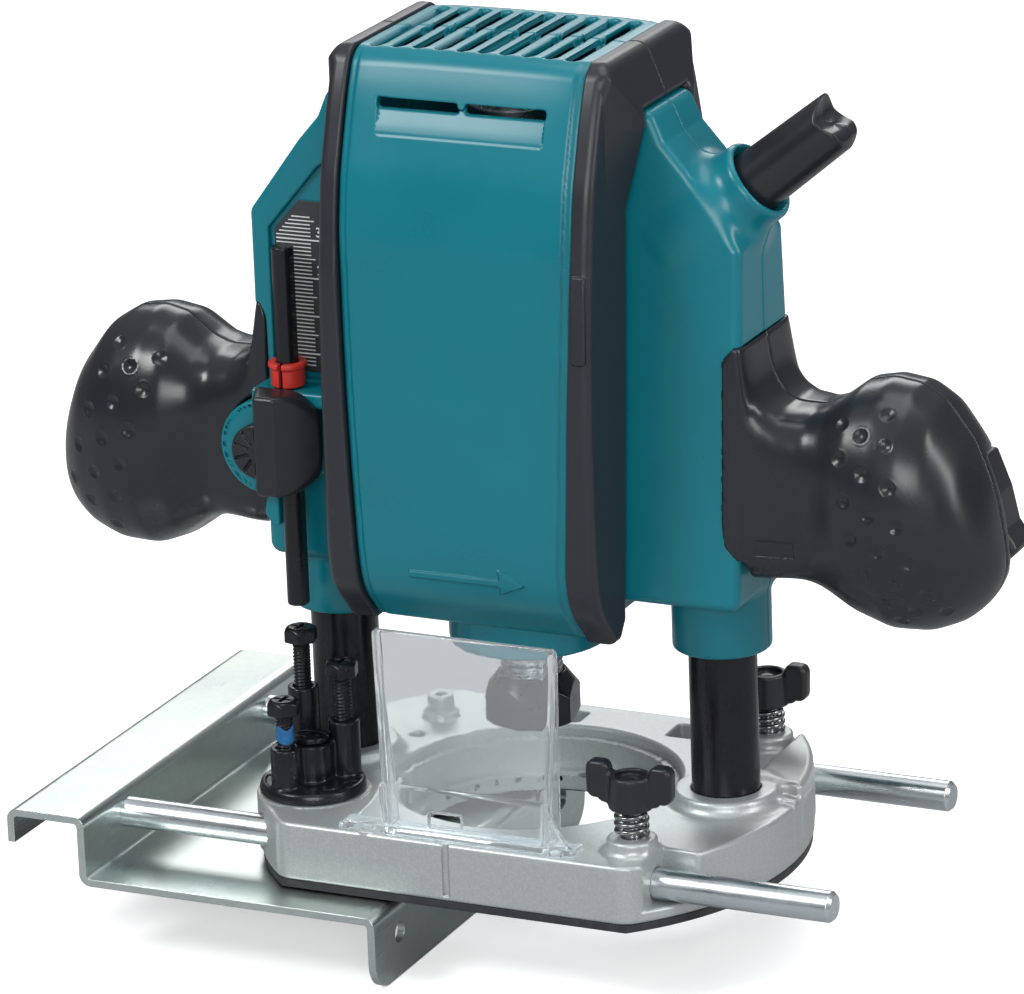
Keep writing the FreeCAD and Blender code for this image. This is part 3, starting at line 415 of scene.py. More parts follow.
def finish(name, colour, rough, *, spots, metal=0.0, grain=0.4, height=0.012, tint=0.06,
           rough_spread=0.06, stretch=(1, 1, 1), streak=0.0, edge=0.3, wear_and_hollow_shade=0.2,
           wear_colour=None, light_colour=None, fleck=0.0, speck=0.0):
    """Colours are sRGB, 0 to 255. Sizes are in mm.

    grain, height: size and height of the fine texture.
    spots: size of the slow changes of colour (by tint) and of roughness (by rough_spread).
    streak: strength of scratches, whose noise is scaled by stretch.
    edge: radius by which edges look rounded.  wear_and_hollow_shade: how much raised edges lighten;
    above 0 it also paints shade into hollows.
    fleck, speck: strength of fine two-tone flecks, and of small dark stains.
    """
    colour = srgb(colour)
    material, tree, shader = new_material(name)
    place = add_node(tree, "ShaderNodeTexCoord").outputs["Object"]

    def noise(size, detail, rough, vector=place):
        values = {"Scale": 1000.0 / size, "Detail": detail, "Roughness": rough, "Vector": vector}
        return add_node(tree, "ShaderNodeTexNoise", values).outputs["Fac"]

    def ranged(value, start, end, low=0.3, high=0.7):
        values = {"From Min": low, "From Max": high, "To Min": start, "To Max": end,
                  "Value": value}
        return add_node(tree, "ShaderNodeMapRange", values).outputs["Result"]

    def mix(first, second, factor):
        # inputs 0, 6, 7 and output 2 are the factor and the colour sockets
        sockets = {0: factor, 6: first, 7: second}
        return add_node(tree, "ShaderNodeMix", sockets, data_type="RGBA").outputs[2]

    def shade(factor, lift=0.0):
        return tuple(min(1, c * factor + lift) for c in colour[:3]) + (1,)

    slow = noise(spots, 3.0, 0.6)
    light = srgb(light_colour) if light_colour else shade(1 + tint)
    base = mix(shade(1 - tint), light, ranged(slow, 0, 1))
    if fleck > 0:
        dots = noise(max(grain * 1.4, 0.25), 1.0, 0.5)
        base = mix(base, shade(1 + fleck, 0.02), ranged(dots, 0, 1, 0.52, 0.66))
        base = mix(base, shade(1 - fleck), ranged(dots, 1, 0, 0.33, 0.46))
    if speck > 0:
        base = mix(base, shade(1 - speck), ranged(noise(3.2, 4.0, 0.75), 0, 1, 0.62, 0.74))
    fine = noise(grain, 2.0, 0.55)
    gloss = ranged(slow, rough - rough_spread, rough + rough_spread)
    if streak > 0:
        scaled = add_node(tree, "ShaderNodeMapping", {"Vector": place, "Scale": stretch})
        lines = noise(0.5, 4.0, 0.7, scaled.outputs["Vector"])
        scratch = ranged(lines, -streak * 0.25, streak * 0.35)
        gloss = add_node(tree, "ShaderNodeMath", {0: gloss, 1: scratch}, operation="ADD").outputs[0]
        base = mix(base, shade(1 - streak * 0.5), ranged(lines, 0, 1, 0.5, 0.8))
    relief = {"Distance": height * MM, "Height": fine}
    if edge > 0:
        bevel = add_node(tree, "ShaderNodeBevel", {"Radius": edge * MM}, samples=4)
        relief["Normal"] = bevel.outputs["Normal"]
    # Rubbed edges lighten in patches, and hollows get painted shade
    if wear_and_hollow_shade > 0:
        raised = add_node(tree, "ShaderNodeNewGeometry").outputs["Pointiness"]
        patches = noise(2.6, 3.0, 0.7)
        worn = {0: ranged(raised, 0, wear_and_hollow_shade, 0.53, 0.62), 1: ranged(patches, 0.25, 1.0, 0.35, 0.65)}
        amount = add_node(tree, "ShaderNodeMath", worn, operation="MULTIPLY").outputs[0]
        base = mix(base, srgb(wear_colour) if wear_colour else shade(2.2, 0.05), amount)
        # Painted shade: hollows, where pointiness is low, darken towards 35% of the colour
        base = mix(base, shade(0.35), ranged(raised, 0.55, 0.0, 0.38, 0.48))
    tree.links.new(base, shader.inputs["Base Color"])
    tree.links.new(gloss, shader.inputs["Roughness"])
    shader.inputs["Metallic"].default_value = metal
    shader.inputs["IOR"].default_value = 1.5
    bump = add_node(tree, "ShaderNodeBump", relief)
    if streak > 0:
        relief = {"Distance": 0.006 * MM * streak, "Height": lines, "Normal": bump.outputs["Normal"]}
        bump = add_node(tree, "ShaderNodeBump", relief)
    tree.links.new(bump.outputs["Normal"], shader.inputs["Normal"])
    material.diffuse_color = colour
    FINISHES[name] = material


def clear_finish(name):
    """Slightly uneven clear plastic that lets shadow rays through."""
    material, tree, shader = new_material(name)
    shader.inputs["Base Color"].default_value = (0.95, 0.975, 0.985, 1)
    shader.inputs["Transmission Weight"].default_value = 0.90
    shader.inputs["IOR"].default_value = 1.46
    place = add_node(tree, "ShaderNodeTexCoord").outputs["Object"]
    waves = {"Scale": 120.0, "Detail": 4.0, "Vector": place}
    waves = add_node(tree, "ShaderNodeTexNoise", waves).outputs["Fac"]
    rough = {"To Min": 0.01, "To Max": 0.07, "Value": waves}
    rough = add_node(tree, "ShaderNodeMapRange", rough).outputs["Result"]
    tree.links.new(rough, shader.inputs["Roughness"])
    bump = add_node(tree, "ShaderNodeBump", {"Distance": 0.00006, "Height": waves})
    tree.links.new(bump.outputs["Normal"], shader.inputs["Normal"])
    through = add_node(tree, "ShaderNodeBsdfTransparent", {"Color": (0.90, 0.95, 0.97, 1)})
    mixed = add_node(tree, "ShaderNodeMixShader", {
        "Fac": add_node(tree, "ShaderNodeLightPath").outputs["Is Shadow Ray"],
        1: shader.outputs["BSDF"], 2: through.outputs["BSDF"]})
    tree.links.new(mixed.outputs["Shader"], tree.nodes["Material Output"].inputs["Surface"])
    material.diffuse_color = (0.9, 0.95, 0.97, 0.4)
    FINISHES[name] = material


finish("teal_plastic", (0, 116, 130), 0.30, grain=0.45, height=0.010, spots=35, tint=0.05,
       rough_spread=0.04, wear_colour=(70, 175, 190), speck=0.05)
finish("soft_black", (33, 36, 41), 0.25, grain=0.35, height=0.006, spots=22, wear_and_hollow_shade=0.10,
       edge=0.25, speck=0.12)
finish("black_plastic", (38, 40, 46), 0.36, spots=25, rough_spread=0.05, wear_and_hollow_shade=0.14, speck=0.08)
finish("knob_plastic", (32, 34, 38), 0.34, grain=0.5, height=0.016, spots=12, tint=0.08,
       wear_and_hollow_shade=0.16, edge=0.35, speck=0.1)
finish("black_steel", (30, 31, 36), 0.24, metal=0.35, grain=0.6, height=0.006, spots=9,
       tint=0.12, rough_spread=0.07, wear_colour=(120, 120, 125), edge=0.25, speck=0.15)
finish("blacked_column", (34, 34, 38), 0.24, metal=0.5, grain=0.5, height=0.004, spots=14,
       tint=0.10, wear_and_hollow_shade=0.0, edge=0.0, stretch=(1, 1, 0.02), streak=0.25, speck=0.1)
finish("cast_aluminium", (190, 195, 194), 0.40, metal=0.55, height=0.016, spots=26, tint=0.03,
       rough_spread=0.04, wear_and_hollow_shade=0.30, wear_colour=(226, 230, 229), edge=0.35, fleck=0.05)
finish("zinc_sheet", (200, 210, 208), 0.30, metal=1.0, grain=0.9, height=0.003, spots=40,
       tint=0.03, rough_spread=0.03, stretch=(1, 0.03, 1), streak=0.10, wear_and_hollow_shade=0.25,
       wear_colour=(235, 240, 238), edge=0.35, light_colour=(206, 214, 206))
finish("bright_steel", (212, 219, 222), 0.28, metal=1.0, grain=0.8, height=0.003, spots=16,
       tint=0.05, rough_spread=0.05, stretch=(0.03, 1, 1), streak=0.22, edge=0.25)
finish("ground_steel", (190, 192, 196), 0.22, metal=1.0, grain=0.8, height=0.003, spots=10,
       stretch=(1, 1, 6), streak=0.2, edge=0.25)
finish("sole_black", (38, 39, 42), 0.5, grain=0.5, spots=30, tint=0.1, wear_and_hollow_shade=0.3, speck=0.15)
finish("red_plastic", (205, 52, 40), 0.42, height=0.008, spots=9, rough_spread=0.05, wear_and_hollow_shade=0.25,
       wear_colour=(240, 110, 95), edge=0.25)
finish("scale_plate", (52, 54, 58), 0.5, height=0.006, spots=15, tint=0.08, rough_spread=0.05,
       wear_and_hollow_shade=0.1, edge=0.2)
finish("white_print", (226, 228, 226), 0.5, grain=0.3, height=0.004, spots=6, tint=0.05,
       rough_spread=0.05, wear_and_hollow_shade=0.0, edge=0.0)
finish("copper_wire", (190, 100, 58), 0.3, metal=0.9, grain=0.5, height=0.03, spots=5,
       tint=0.12, rough_spread=0.08, stretch=(1, 1, 5), streak=0.5, wear_and_hollow_shade=0.0, edge=0.2)
finish("laminated_steel", (120, 122, 126), 0.4, metal=0.9, grain=0.5, height=0.01, spots=8,
       tint=0.1, rough_spread=0.07, stretch=(0.02, 0.02, 3), streak=0.5, wear_and_hollow_shade=0.15, edge=0.2)
finish("carbon", (30, 30, 31), 0.55, metal=0.1, grain=0.3, height=0.01, spots=4, tint=0.15,
       rough_spread=0.08, edge=0.2)
finish("sintered_bronze", (170, 124, 70), 0.38, metal=0.9, grain=0.35, height=0.015, spots=7,
       tint=0.1, rough_spread=0.08, fleck=0.15)
finish("spring_steel", (150, 150, 150), 0.25, metal=1.0, grain=0.5, height=0.005, spots=5,
       tint=0.12, rough_spread=0.08, wear_and_hollow_shade=0.1, edge=0.0)
finish("fan_plastic", (32, 33, 36), 0.5, height=0.01, spots=12, tint=0.08, wear_and_hollow_shade=0.15)
finish("thread_locker", (24, 96, 150), 0.45, grain=0.5, height=0.03, spots=2, tint=0.25,
       rough_spread=0.12, wear_and_hollow_shade=0.1, edge=0.1)
clear_finish("clear_plastic")

# ---------------------------------------------------------------------------------------------
# Motor housing: barrel with grille, shoulders, cord collar, clamp boss, nose.
# Tables are (z, value).
FACE = smooth_table([  # depth of the barrel's front and back faces
    (60, 26.0), (68, 28.6), (75, 36.2), (81, 39.4), (88, 40.35), (126, 40.1), (145, 39.3),
    (170, 38.0), (185, 35.7), (200, 31.0), (207, 28.5), (216, 24.2)], 2.6)
HALF = smooth_table([  # half width of the barrel
    (60, 29.3), (75, 29.2), (84, 28.8), (105, 29.8), (126, 30.5), (145, 31.2), (170, 31.9),
    (216, 31.9)], 4.0)
PROUD = smooth_table([(60, 0.9), (161, 0.9), (167, 0.2), (216, 0.2)], 0.9)  # trim over face
DEEP = smooth_table([  # depth of the shoulders
    (40, 21.0), (76, 21.0), (128, 17.0), (178, 13.6), (216, 13.0)], 3.0)
DEEP_LEFT = smooth_table([  # the same at the front of the left one
    (40, 15.3), (119, 15.3), (135, 15.2), (178, 13.6), (216, 13.0)], 2.0)
SIDE = [(10, 200.8), (43.4, 200.8), (46.6, 193.4), (52.4, 186.8), (66.7, 167.6), (66.7, 75.4),
        (10, 75.4)]  # shoulder outline: |x|, z
SCALE_RECESS = [(-61.6, 124.2), (-61.6, 163.4), (-47.2, 180.2), (-36, 188.5), (-36, 124.2)]


def cord_axes(x, y, z):
    """Distance along the cord, across it in the XZ plane, and from its axis."""
    x, z = x - CORD_START[0], z - CORD_START[1]
    across = z * CORD_X - x * CORD_Z
    return x * CORD_X + z * CORD_Z, across, length(across, y)


def barrel(x, y, z):
    wide, deep = np.abs(x), np.abs(y)
    square = (wide / 31.0) ** 2
    step = np.clip((wide - HALF(z) + 2.9) / 0.9, 0, 1)
    crown = 0.7 * square * square * square + 0.45 * step * step * (3 - 2 * step)
    front = (deep - FACE(z) + 0.7 * square * square * square
             + 0.45 * step * step * (3 - 2 * step)) * 0.94
    body = meet(front, z - 215 + 0.5 * square * square, 4.2)
    body = meet(body, 67.6 - z, 1.6)
    return meet(body, wide - HALF(z), 0.9), front


def shoulder(x, y, z):
    outline = poly(np.abs(x), z, SIDE, 3.2)
    deep = np.where((x < 0) & (y < 0), DEEP_LEFT(z), DEEP(z))
    return meet(outline, (np.abs(y) - deep) * 0.995, 2.6), outline


def neck_tables(side):
    """Tables over |x| for a grip: top z, bottom z, depth, and roundness exponent."""
    stretch = 1.0 if side > 0 else 0.9965
    top = [(50, 152), (66.2, 152), (67.2, 146.0), (67.8, 141.5), (68.7, 133.2), (72, 128.5),
           (75.9, 126.4), (82.6, 126.3), (87.2, 128.0), (94.7, 133.7), (101.4, 135.2),
           (108.8, 134.2), (115.0, 130.4), (122.4, 120.6), (127.2, 108.6), (129.2, 100.0),
           (130.4, 92.0)]
    low = [(50, 82.6), (68, 82.6), (76, 83.0), (81, 82.6), (86, 80.4), (94, 74.6), (103, 70.9),
           (113, 71.3), (121, 74.6), (126.0, 79.0), (129.0, 83.6), (130.4, 88.0)]
    deep = [(50, 18.3), (76, 18.1), (83, 18.0), (87.5, 19.6), (94, 22.6), (103, 23.9),
            (112, 22.8), (120, 19.6), (125.2, 15.2), (128.4, 10.0), (130.4, 4.4)]
    power = [(50, 6.0), (74, 5.0), (84, 3.2), (91, 2.5), (100, 2.2), (130, 2.2)]
    return [smooth_table([(a * stretch, b) for a, b in table], sigma)
            for table, sigma in ((top, 0.8), (low, 1.5), (deep, 1.4), (power, 2.5))]


def grip_body(side):
    tables = neck_tables(side)

    def field(x, y, z):
        out = side * x
        top, low, deep, power = [table(out) for table in tables]
        deep = deep + np.clip((84 - out) / 16, 0, 1) * np.clip((118 - z) * 0.04, -0.8, 1.6)
        tall = 0.5 * (top - low)
        up, back = np.abs(z - 0.5 * (top + low)) / tall, np.abs(y) / deep
        norm = (up**power + back**power + 1e-9) ** (1 / power)
        return meet((norm - 1) * np.minimum(tall, deep) * 0.85, out - 130.2, 2.5)

    return field


GRIPS = {1: grip_body(1), -1: grip_body(-1)}
# outlines of the soft grips: |x|, z
RIGHT_ZONE = [(62.3, 98.5), (63.2, 92.6), (68.4, 86.9), (68.4, 50), (145, 50), (145, 143.2),
              (65.2, 143.2), (62.3, 139.6)]
LEFT_ZONE = [(63.3, 95.0), (64.6, 87.2), (66.4, 84.4), (68.4, 82.0), (68.4, 50), (145, 50),
             (145, 143.2), (65.0, 143.2), (63.6, 139.6)]


def zone(side, x, y, z):
    """Where the soft grip covers the housing."""
    if side > 0:
        return poly(x, z, RIGHT_ZONE, 1.5)
    clear = np.where(y < -1, 13.0 - about(x, z, CLAMP)[2], -1e3)
    return np.maximum(poly(-x, z, LEFT_ZONE, 0.8), clear)


def outside(x, y, z):
    """The housing without its openings; also its front face and shoulder outline."""
    main, front = barrel(x, y, z)
    sides, outline = shoulder(x, y, z)
    body = join(main, sides, 1.2)
    along, _, radius = cord_axes(x, y, z)
    body = join(body, meet(radius - 10.9, slab(along, -14, 14.2), 2.0), 5.5)
    body = join(body, drum(np.abs(x), y, z, COLUMN, 12.7, 59.5, 90, 0.9), 1.5)
    nose = drum(x, y, z, ORIGIN, 21.0, 56.0, 85, 1.6)
    return join(body, nose, 1.8), front, outline


def left_front(body, outline, x, y, z):
    """Raised rim round the depth scale, clamp boss, ledge and pole guide."""
    rim = meet(meet(outline, -16.7 - y, 1.3), 119.2 - z, 1.0)
    rim = meet(meet(rim, x + 30), y + 3)
    body = join(body, rim, 0.6)
    body = carve(body, plate(x, z, y, SCALE_RECESS, -40, -15.3, 0.3, 1.2), 0.5)
    body = join(body, drum(x, z, y, CLAMP, 12.5, -24.0, -2.0, 0.9), 1.2)
    foot = [(-64.4, 104), (-64.4, 88), (-62.6, 85.2), (-60.3, 85.2), (-60.3, 104)]
    body = join(body, plate(x, z, y, foot, -20.5, -6, 0.6, 0.6), 0.8)
    ring = slab(about(x, z, CLAMP)[2], 10.9, 11.5)
    body = carve(body, meet(ring, slab(y, -25, -23.65), 0.1), 0.15)
    for limits in ((-64.0, -43.0, -26.4, -10, 119.5, 123.5), (-60.3, -50.2, -24.6, -10, 98.9, 104.5)):
        body = join(body, box(x, y, z, limits, 0.9), 0.5)
    return body


def vents(body, front, x, y, z):
    """Top grille with a lower bar between its two rows, and the front air slot."""
    fold = np.mod(x + 28.4, 5.9) - 1.4
    inside = slab(x, -29.0, 28.2)

    def row(middle, half):
        return length(fold, np.maximum(np.abs(y - middle) - half, 0)) - 1.4

    slots = np.minimum(row(-11.8, 7.9), row(10.6, 6.6))
    body = carve(body, np.maximum(np.maximum(slots, inside), 204 - z), 1.1)
    body = carve(body, np.maximum(np.maximum(row(-1.0, 18.6), inside), 212.9 - z), 0.9)
    slot = box(np.abs(x), y, z, (0.9, 23.0, -60, -16, 201.0, 203.7), 0.9)
    body = carve(body, np.where(y < 0, slot, 1e3), 0.35)
    # scooped lower lip of the air slot
    depth = 1.3 * np.clip((z - 195.6) / 6.0, 0, 1)
    scoop = meet(meet(np.abs(x) - 22.6, slab(z, 195.2, 202.2), 0.8), -(front + depth))
    return carve(body, np.where((y < 0) & (z < 202.3), scoop, 1e3), 0.5)


def cavities(body, x, y, z):
    """Motor space, bores for the columns, spindle, pole and clamp, cord mouth, screw pockets."""
    wide, deep = np.abs(x), np.abs(y)
    hollow = meet(deep - FACE(z) + 3.0, wide - HALF(z) + 3.2, 3)
    hollow = meet(hollow, slab(z, 72.5, 211.6), 2.5)
    bores = np.minimum(drum(wide, y, z, COLUMN, 11.02, 50, 131),
                       drum(wide, y, z, COLUMN, 9.3, 60, 169.5))
    spin = np.minimum(drum(x, y, z, ORIGIN, 17.5, 58.0, 90), drum(x, y, z, ORIGIN, 10.0, 50, 60))
    body = carve(body, np.minimum(np.minimum(hollow, bores), spin), 0.5)
    body = carve(body, drum(x, y, z, POLE, 3.05, 60, 200), 0.4)
    along, _, radius = cord_axes(x, y, z)
    mouth = meet(radius - 8.25 - np.clip(along - 11.4, 0, 2) * 0.5, slab(along, 0.5, 30))
    body = carve(body, mouth, 0.9)
    body = carve(body, drum(x, z, y, CLAMP, 2.6, -30, -10), 0.2)
    # |x|, z, floor of the pocket and end of the screw hole in y
    for at_x, at_z, back, front in ((34.6, 186.0, 6.0, -7.0), (34.6, 135.0, 10.0, -10.0),
                                    (34.6, 84.0, 13.0, -13.0)):
        pocket = drum(wide, z, y, (at_x, at_z), 4.1, back - 0.1, 60)
        hole = drum(wide, z, y, (at_x, at_z), 2.0, front, back + 1)
        body = carve(body, np.minimum(pocket, hole), 0.4)
    return carve(body, drum(x, z, y, LEVER, 3.1, 3, 60), 0.4)


def housing(x, y, z):
    body, front, outline = outside(x, y, z)
    body = left_front(body, outline, x, y, z)
    for side in (1, -1):  # shallow recesses for the soft grips
        body = np.maximum(body, np.minimum(-zone(side, x, y, z) - 0.04, body + 2.4))
    body = vents(body, front, x, y, z)
    # raised arrow low on the front, pointing to +X
    head = plate(x, z, y, [(10.5, 80.6), (17.5, 83.8), (10.5, 87.0)], -50, -30)
    arrow = np.minimum(box(x, y, z, (-14.5, 11.5, -50, -30, 82.9, 84.7)), head)
    body = np.minimum(body, np.where(y < 0, meet(arrow, front - 0.5, 0.12), 1e3))
    return cavities(body, x, y, z)


def housing_half(sign):
    """The front half for sign 1, the rear half for -1."""
    return lambda x, y, z: meet(housing(x, y, z), sign * y + 0.07, 0.45)


field_piece("housing_front", housing_half(1), (-77, -42.5, 54), (90, 1, 217), 0.55,
            "motor_unit", "teal_plastic", "front_housing", margin=2.0)
field_piece("housing_rear", housing_half(-1), (-70, -1, 54), (90, 42.5, 217), 0.75,
            "motor_unit", "teal_plastic", "rear_housing", margin=2.0)

# ---------------------------------------------------------------------------------------------
# Corner trims: dark strips that run up the front, over the top and down the back
TRIM_OUTLINE = [(-30, 200.9), (13.0, 200.9), (14.0, 178), (17.2, 128), (21.2, 76), (21.4, 71.5),
                (25, 66.7), (70, 66.7), (70, 220), (-30, 220)]  # |y|, z


def trim(side, sign):
    def field(x, y, z):
        out, deep = side * x, np.abs(y)
        front = (deep - FACE(z) - PROUD(z)) * 0.96
        body = meet(front, z - 215.0, 4.0)
        body = meet(body, poly(deep, z, TRIM_OUTLINE, 0.8), 1.2)
        flare = np.clip(np.minimum((214.5 - z) * 0.40, (27 - deep) * 0.5), 0, 5.6)
        flare = flare * np.clip((z - 176) / 22, 0, 1)
        body = meet(body, (out - 37.2 - flare) * 0.9, 2.4)
        body = meet(body, HALF(z) + 0.09 - out, 0.6)
        if side > 0:
            bar = meet(np.abs(out - 34.3) - 1.9, slab(z, 143.0, 165.0), 0.8)
            body = join(body, meet(bar, np.abs(front) - 0.5, 0.4), 0.2)
        return meet(body, sign * y + 0.07, 0.4)

    return field


for side, label in ((-1, "left"), (1, "right")):
    x0, x1 = sorted((side * 27, side * 44))
    field_piece(label + "_trim_front", trim(side, 1), (x0, -43, 65), (x1, 1, 217), 0.5,
                "motor_unit", "black_plastic", label + "_trim", margin=1.0)
    field_piece(label + "_trim_rear", trim(side, -1), (x0, -1, 65), (x1, 43, 217), 0.7,
                "motor_unit", "black_plastic", label + "_trim", margin=1.0)

# ---------------------------------------------------------------------------------------------
# Soft grips, each of two halves, with dimples at (x, z)
DIMPLES = {
    -1: [(-107.1, 128.3), (-94.4, 125.8), (-102.2, 123.5), (-110.3, 121.3), (-97.6, 118.1),
         (-106.1, 114.3), (-113.9, 111.3), (-101.4, 107.6), (-109.4, 104.5), (-117.8, 101.2),
         (-104.6, 98.2), (-113.0, 94.6), (-121.1, 91.1), (-107.5, 88.4), (-115.9, 85.9),
         (-109.7, 79.3)],
    1: [(104.9, 129.6), (93.6, 126.7), (99.4, 124.9), (106.0, 123.2), (94.1, 119.1),
        (100.8, 116.2), (107.7, 113.4), (96.2, 109.2), (102.8, 106.3), (109.9, 103.9),
        (98.0, 99.5), (105.2, 97.0), (112.5, 94.5), (100.8, 90.4), (108.4, 88.1),
        (116.0, 85.8), (105.0, 82.3), (112.4, 80.4), (119.6, 80.5), (108.1, 77.1)],
}
TRIGGER_SLOT = (107.4, 140.0, 3.4, 17.1, 86.4, 115.6)


def grip(side, sign):
    def field(x, y, z):
        neck, _ = shoulder(x, y, z)
        core = GRIPS[side](x, y, z)
        body = join(neck - 0.28, core, 0.8)
        body = np.maximum(body, zone(side, x, y, z) + 0.02)
        body = meet(body, -(np.minimum(neck, core) + 3.0), 0.3)
        if side > 0 and sign > 0:
            mark = meet(slab(x, 70.6, 80.6), slab(z, 90.8, 95.0), 0.2)
            body = carve(body, np.maximum(mark, -(core + 0.4)), 0.1)
        if side > 0 and sign < 0:
            body = carve(body, box(x, y, z, TRIGGER_SLOT, 1.5), 0.9)
            body = carve(body, drum(x, z, y, BUTTON, 4.75, 2, 60), 0.6)
        body = carve(body, drum(side * x, z, y, (70.4, 105.0), 4.1, 10.9, 60), 0.4)
        return meet(body, sign * y + 0.06, 0.5)

    return field


def vertex_normals(verts, quads):
    normals = np.zeros_like(verts)
    corner = [verts[quads[:, k]] for k in range(4)]
    facing = np.cross(corner[2] - corner[0], corner[3] - corner[1])
    for k in range(4):
        np.add.at(normals, quads[:, k], facing)
    return normals / np.maximum(np.linalg.norm(normals, axis=1), 1e-12)[:, None]


def dimpled(points, sign):
    """A step that presses a low-rimmed dimple in wherever a ray along y meets the grip."""

    def press(verts, quads, normals):
        tree = BVHTree.FromPolygons(verts.tolist(), quads.tolist())
        for x, z in points:
            hit = tree.ray_cast(Vector((x, -80.0 * sign, z)), Vector((0, sign, 0)))[0]
            if hit is None:
                continue
            gap = np.linalg.norm(verts - np.array(hit), axis=1)
            near = gap < 2.3
            share = np.clip(gap[near] / 2.05, 0, 1)
            rim = 0.10 * np.exp(-((gap[near] - 2.1) ** 2) / 0.05)
            verts[near] -= normals[near] * (0.62 * (1 - share * share) ** 1.4 - rim)[:, None]
        return verts, vertex_normals(verts, quads)

    return press


for side, label in ((-1, "left"), (1, "right")):
    x0, x1 = sorted((side * 58, side * 132))
    for sign, which, y0, y1, cell in ((1, "front", -27, 1, 0.5), (-1, "rear", -1, 27, 0.62)):
        name = which + "_" + label + "_grip"
        field_piece(name + "_cover", grip(side, sign), (x0, y0, 66), (x1, y1, 148), cell,
                    "motor_unit", "soft_black", name, margin=9.0,
                    after=dimpled(DIMPLES[side], sign))


# ---------------------------------------------------------------------------------------------
# Base: casting with column and wing bolt bosses, stepped cutter opening, rod bores
HUMP = [(58.5, 8.0), (75.0, 6.0), (75.0, 55.0), (56.0, 55.0), (56.0, 22.0)]  # x, y
NOTCH = [(51.3, -36.0), (63.3, -37.2), (90, -37.2), (90, -70), (51.3, -70)]  # x, y
LUG = (-41.9, 32.0)  # x, y


def base_solid(x, y, z):
    wide = np.abs(x)
    plan = meet(length(x, y) - 71.5, np.abs(y) - 53.0, 2.0)
    body = meet(plan, slab(z, 2.0, 17.5), 1.1)
    body = join(body, meet(plate(x, y, z, HUMP, 5.4, 21.4, 1.5, 2.0), plan, 1.6), 1.2)
    rib = box(x, y, z, (66.0, 75.0, 1.2, 2.8, 3, 18.9), 0.5)
    body = join(body, meet(rib, plan - 0.12, 0.4), 0.3)
    body = join(body, drum(wide, y, z, COLUMN, 13.5, 3, 21.3, 1.3), 3.0)
    for centre in WING_BOLTS.values():
        body = join(body, drum(x, y, z, centre, 6.5, 3, 21.3, 0.9), 2.2)
    body = join(body, drum(x, y, z, TURRET, 14.6, 3, 17.8, 0.4), 0.1)
    body = join(body, drum(x, y, z, GUARD_PINS[0], 4.2, 3, 17.9, 0.3), 0.1)
    body = join(body, drum(x, y, z, LUG, 4.6, 15, 19.5, 0.6), 0.8)
    return join(body, drum(x, y, z, LUG, 3.5, 15, 24.0, 0.5), 0.6)


def base(x, y, z):
    wide, radius = np.abs(x), length(x, y)
    body = base_solid(x, y, z)
    for centre, hole, low in ((LUG, 1.6, 18), ((-42.2, 17.9), 2.1, 6), ((-35.6, -3.5), 1.9, 6)):
        body = carve(body, drum(x, y, z, centre, hole, low, 40), 0.4)
    opening = np.where(z < 6, 30.0, np.where(z < 14.5, 35.0, 37.5))
    body = carve(body, radius - opening - np.clip(z - 16.6, 0, 1) * 0.8, 0.5)
    body = carve(body, plate(x, y, z, NOTCH, 5.2, 40, 0.3), 0.8)
    for sign in (-1, 1):
        column = (sign * COLUMN_X, 0.0)
        body = carve(body, about(y, z, (sign * ROD_Y, ROD_Z))[2] - 4.06, 0.35)
        body = carve(body, drum(x, y, z, column, 8.8, 8, 40), 0.4)
        screw = np.minimum(drum(x, y, z, column, 3.1, 0, 20), drum(x, y, z, column, 5.3, 0, 5.5))
        body = carve(body, screw, 0.2)
        body = carve(body, drum(x, y, z, (0, sign * 32.5), 2.05, 0, 30), 0.3)
        body = carve(body, drum(wide, y, z, (42.0, sign * 20.0), 2.05, 0, 8.5), 0.2)
    for centre in WING_BOLTS.values():
        body = carve(body, drum(x, y, z, centre, 2.55, 9.5, 40), 0.35)
    body = carve(body, drum(x, y, z, TURRET, 3.03, 6, 40), 0.3)
    for centre in GUARD_PINS:
        body = carve(body, drum(x, y, z, centre, 2.0, 12, 40), 0.3)
    # two pockets in the rear top, and a narrow groove in the front face
    body = carve(body, box(x, y, z, (19.8, 27.2, 38.0, 47.6, 11.5, 30), 0.9), 0.7)
    body = carve(body, box(x, y, z, (-30.0, -6.0, 39.4, 47.4, 13.6, 30), 1.2), 0.7)
    return carve(body, box(x, y, z, (-2.2, -0.4, -60, -52.3, 3.4, 30), 0.2), 0.25)


field_piece("base_body", base, (-73, -54.5, 1), (73, 54.5, 22.5), 0.5, "base",
            "cast_aluminium", "base_casting", margin=2.0)


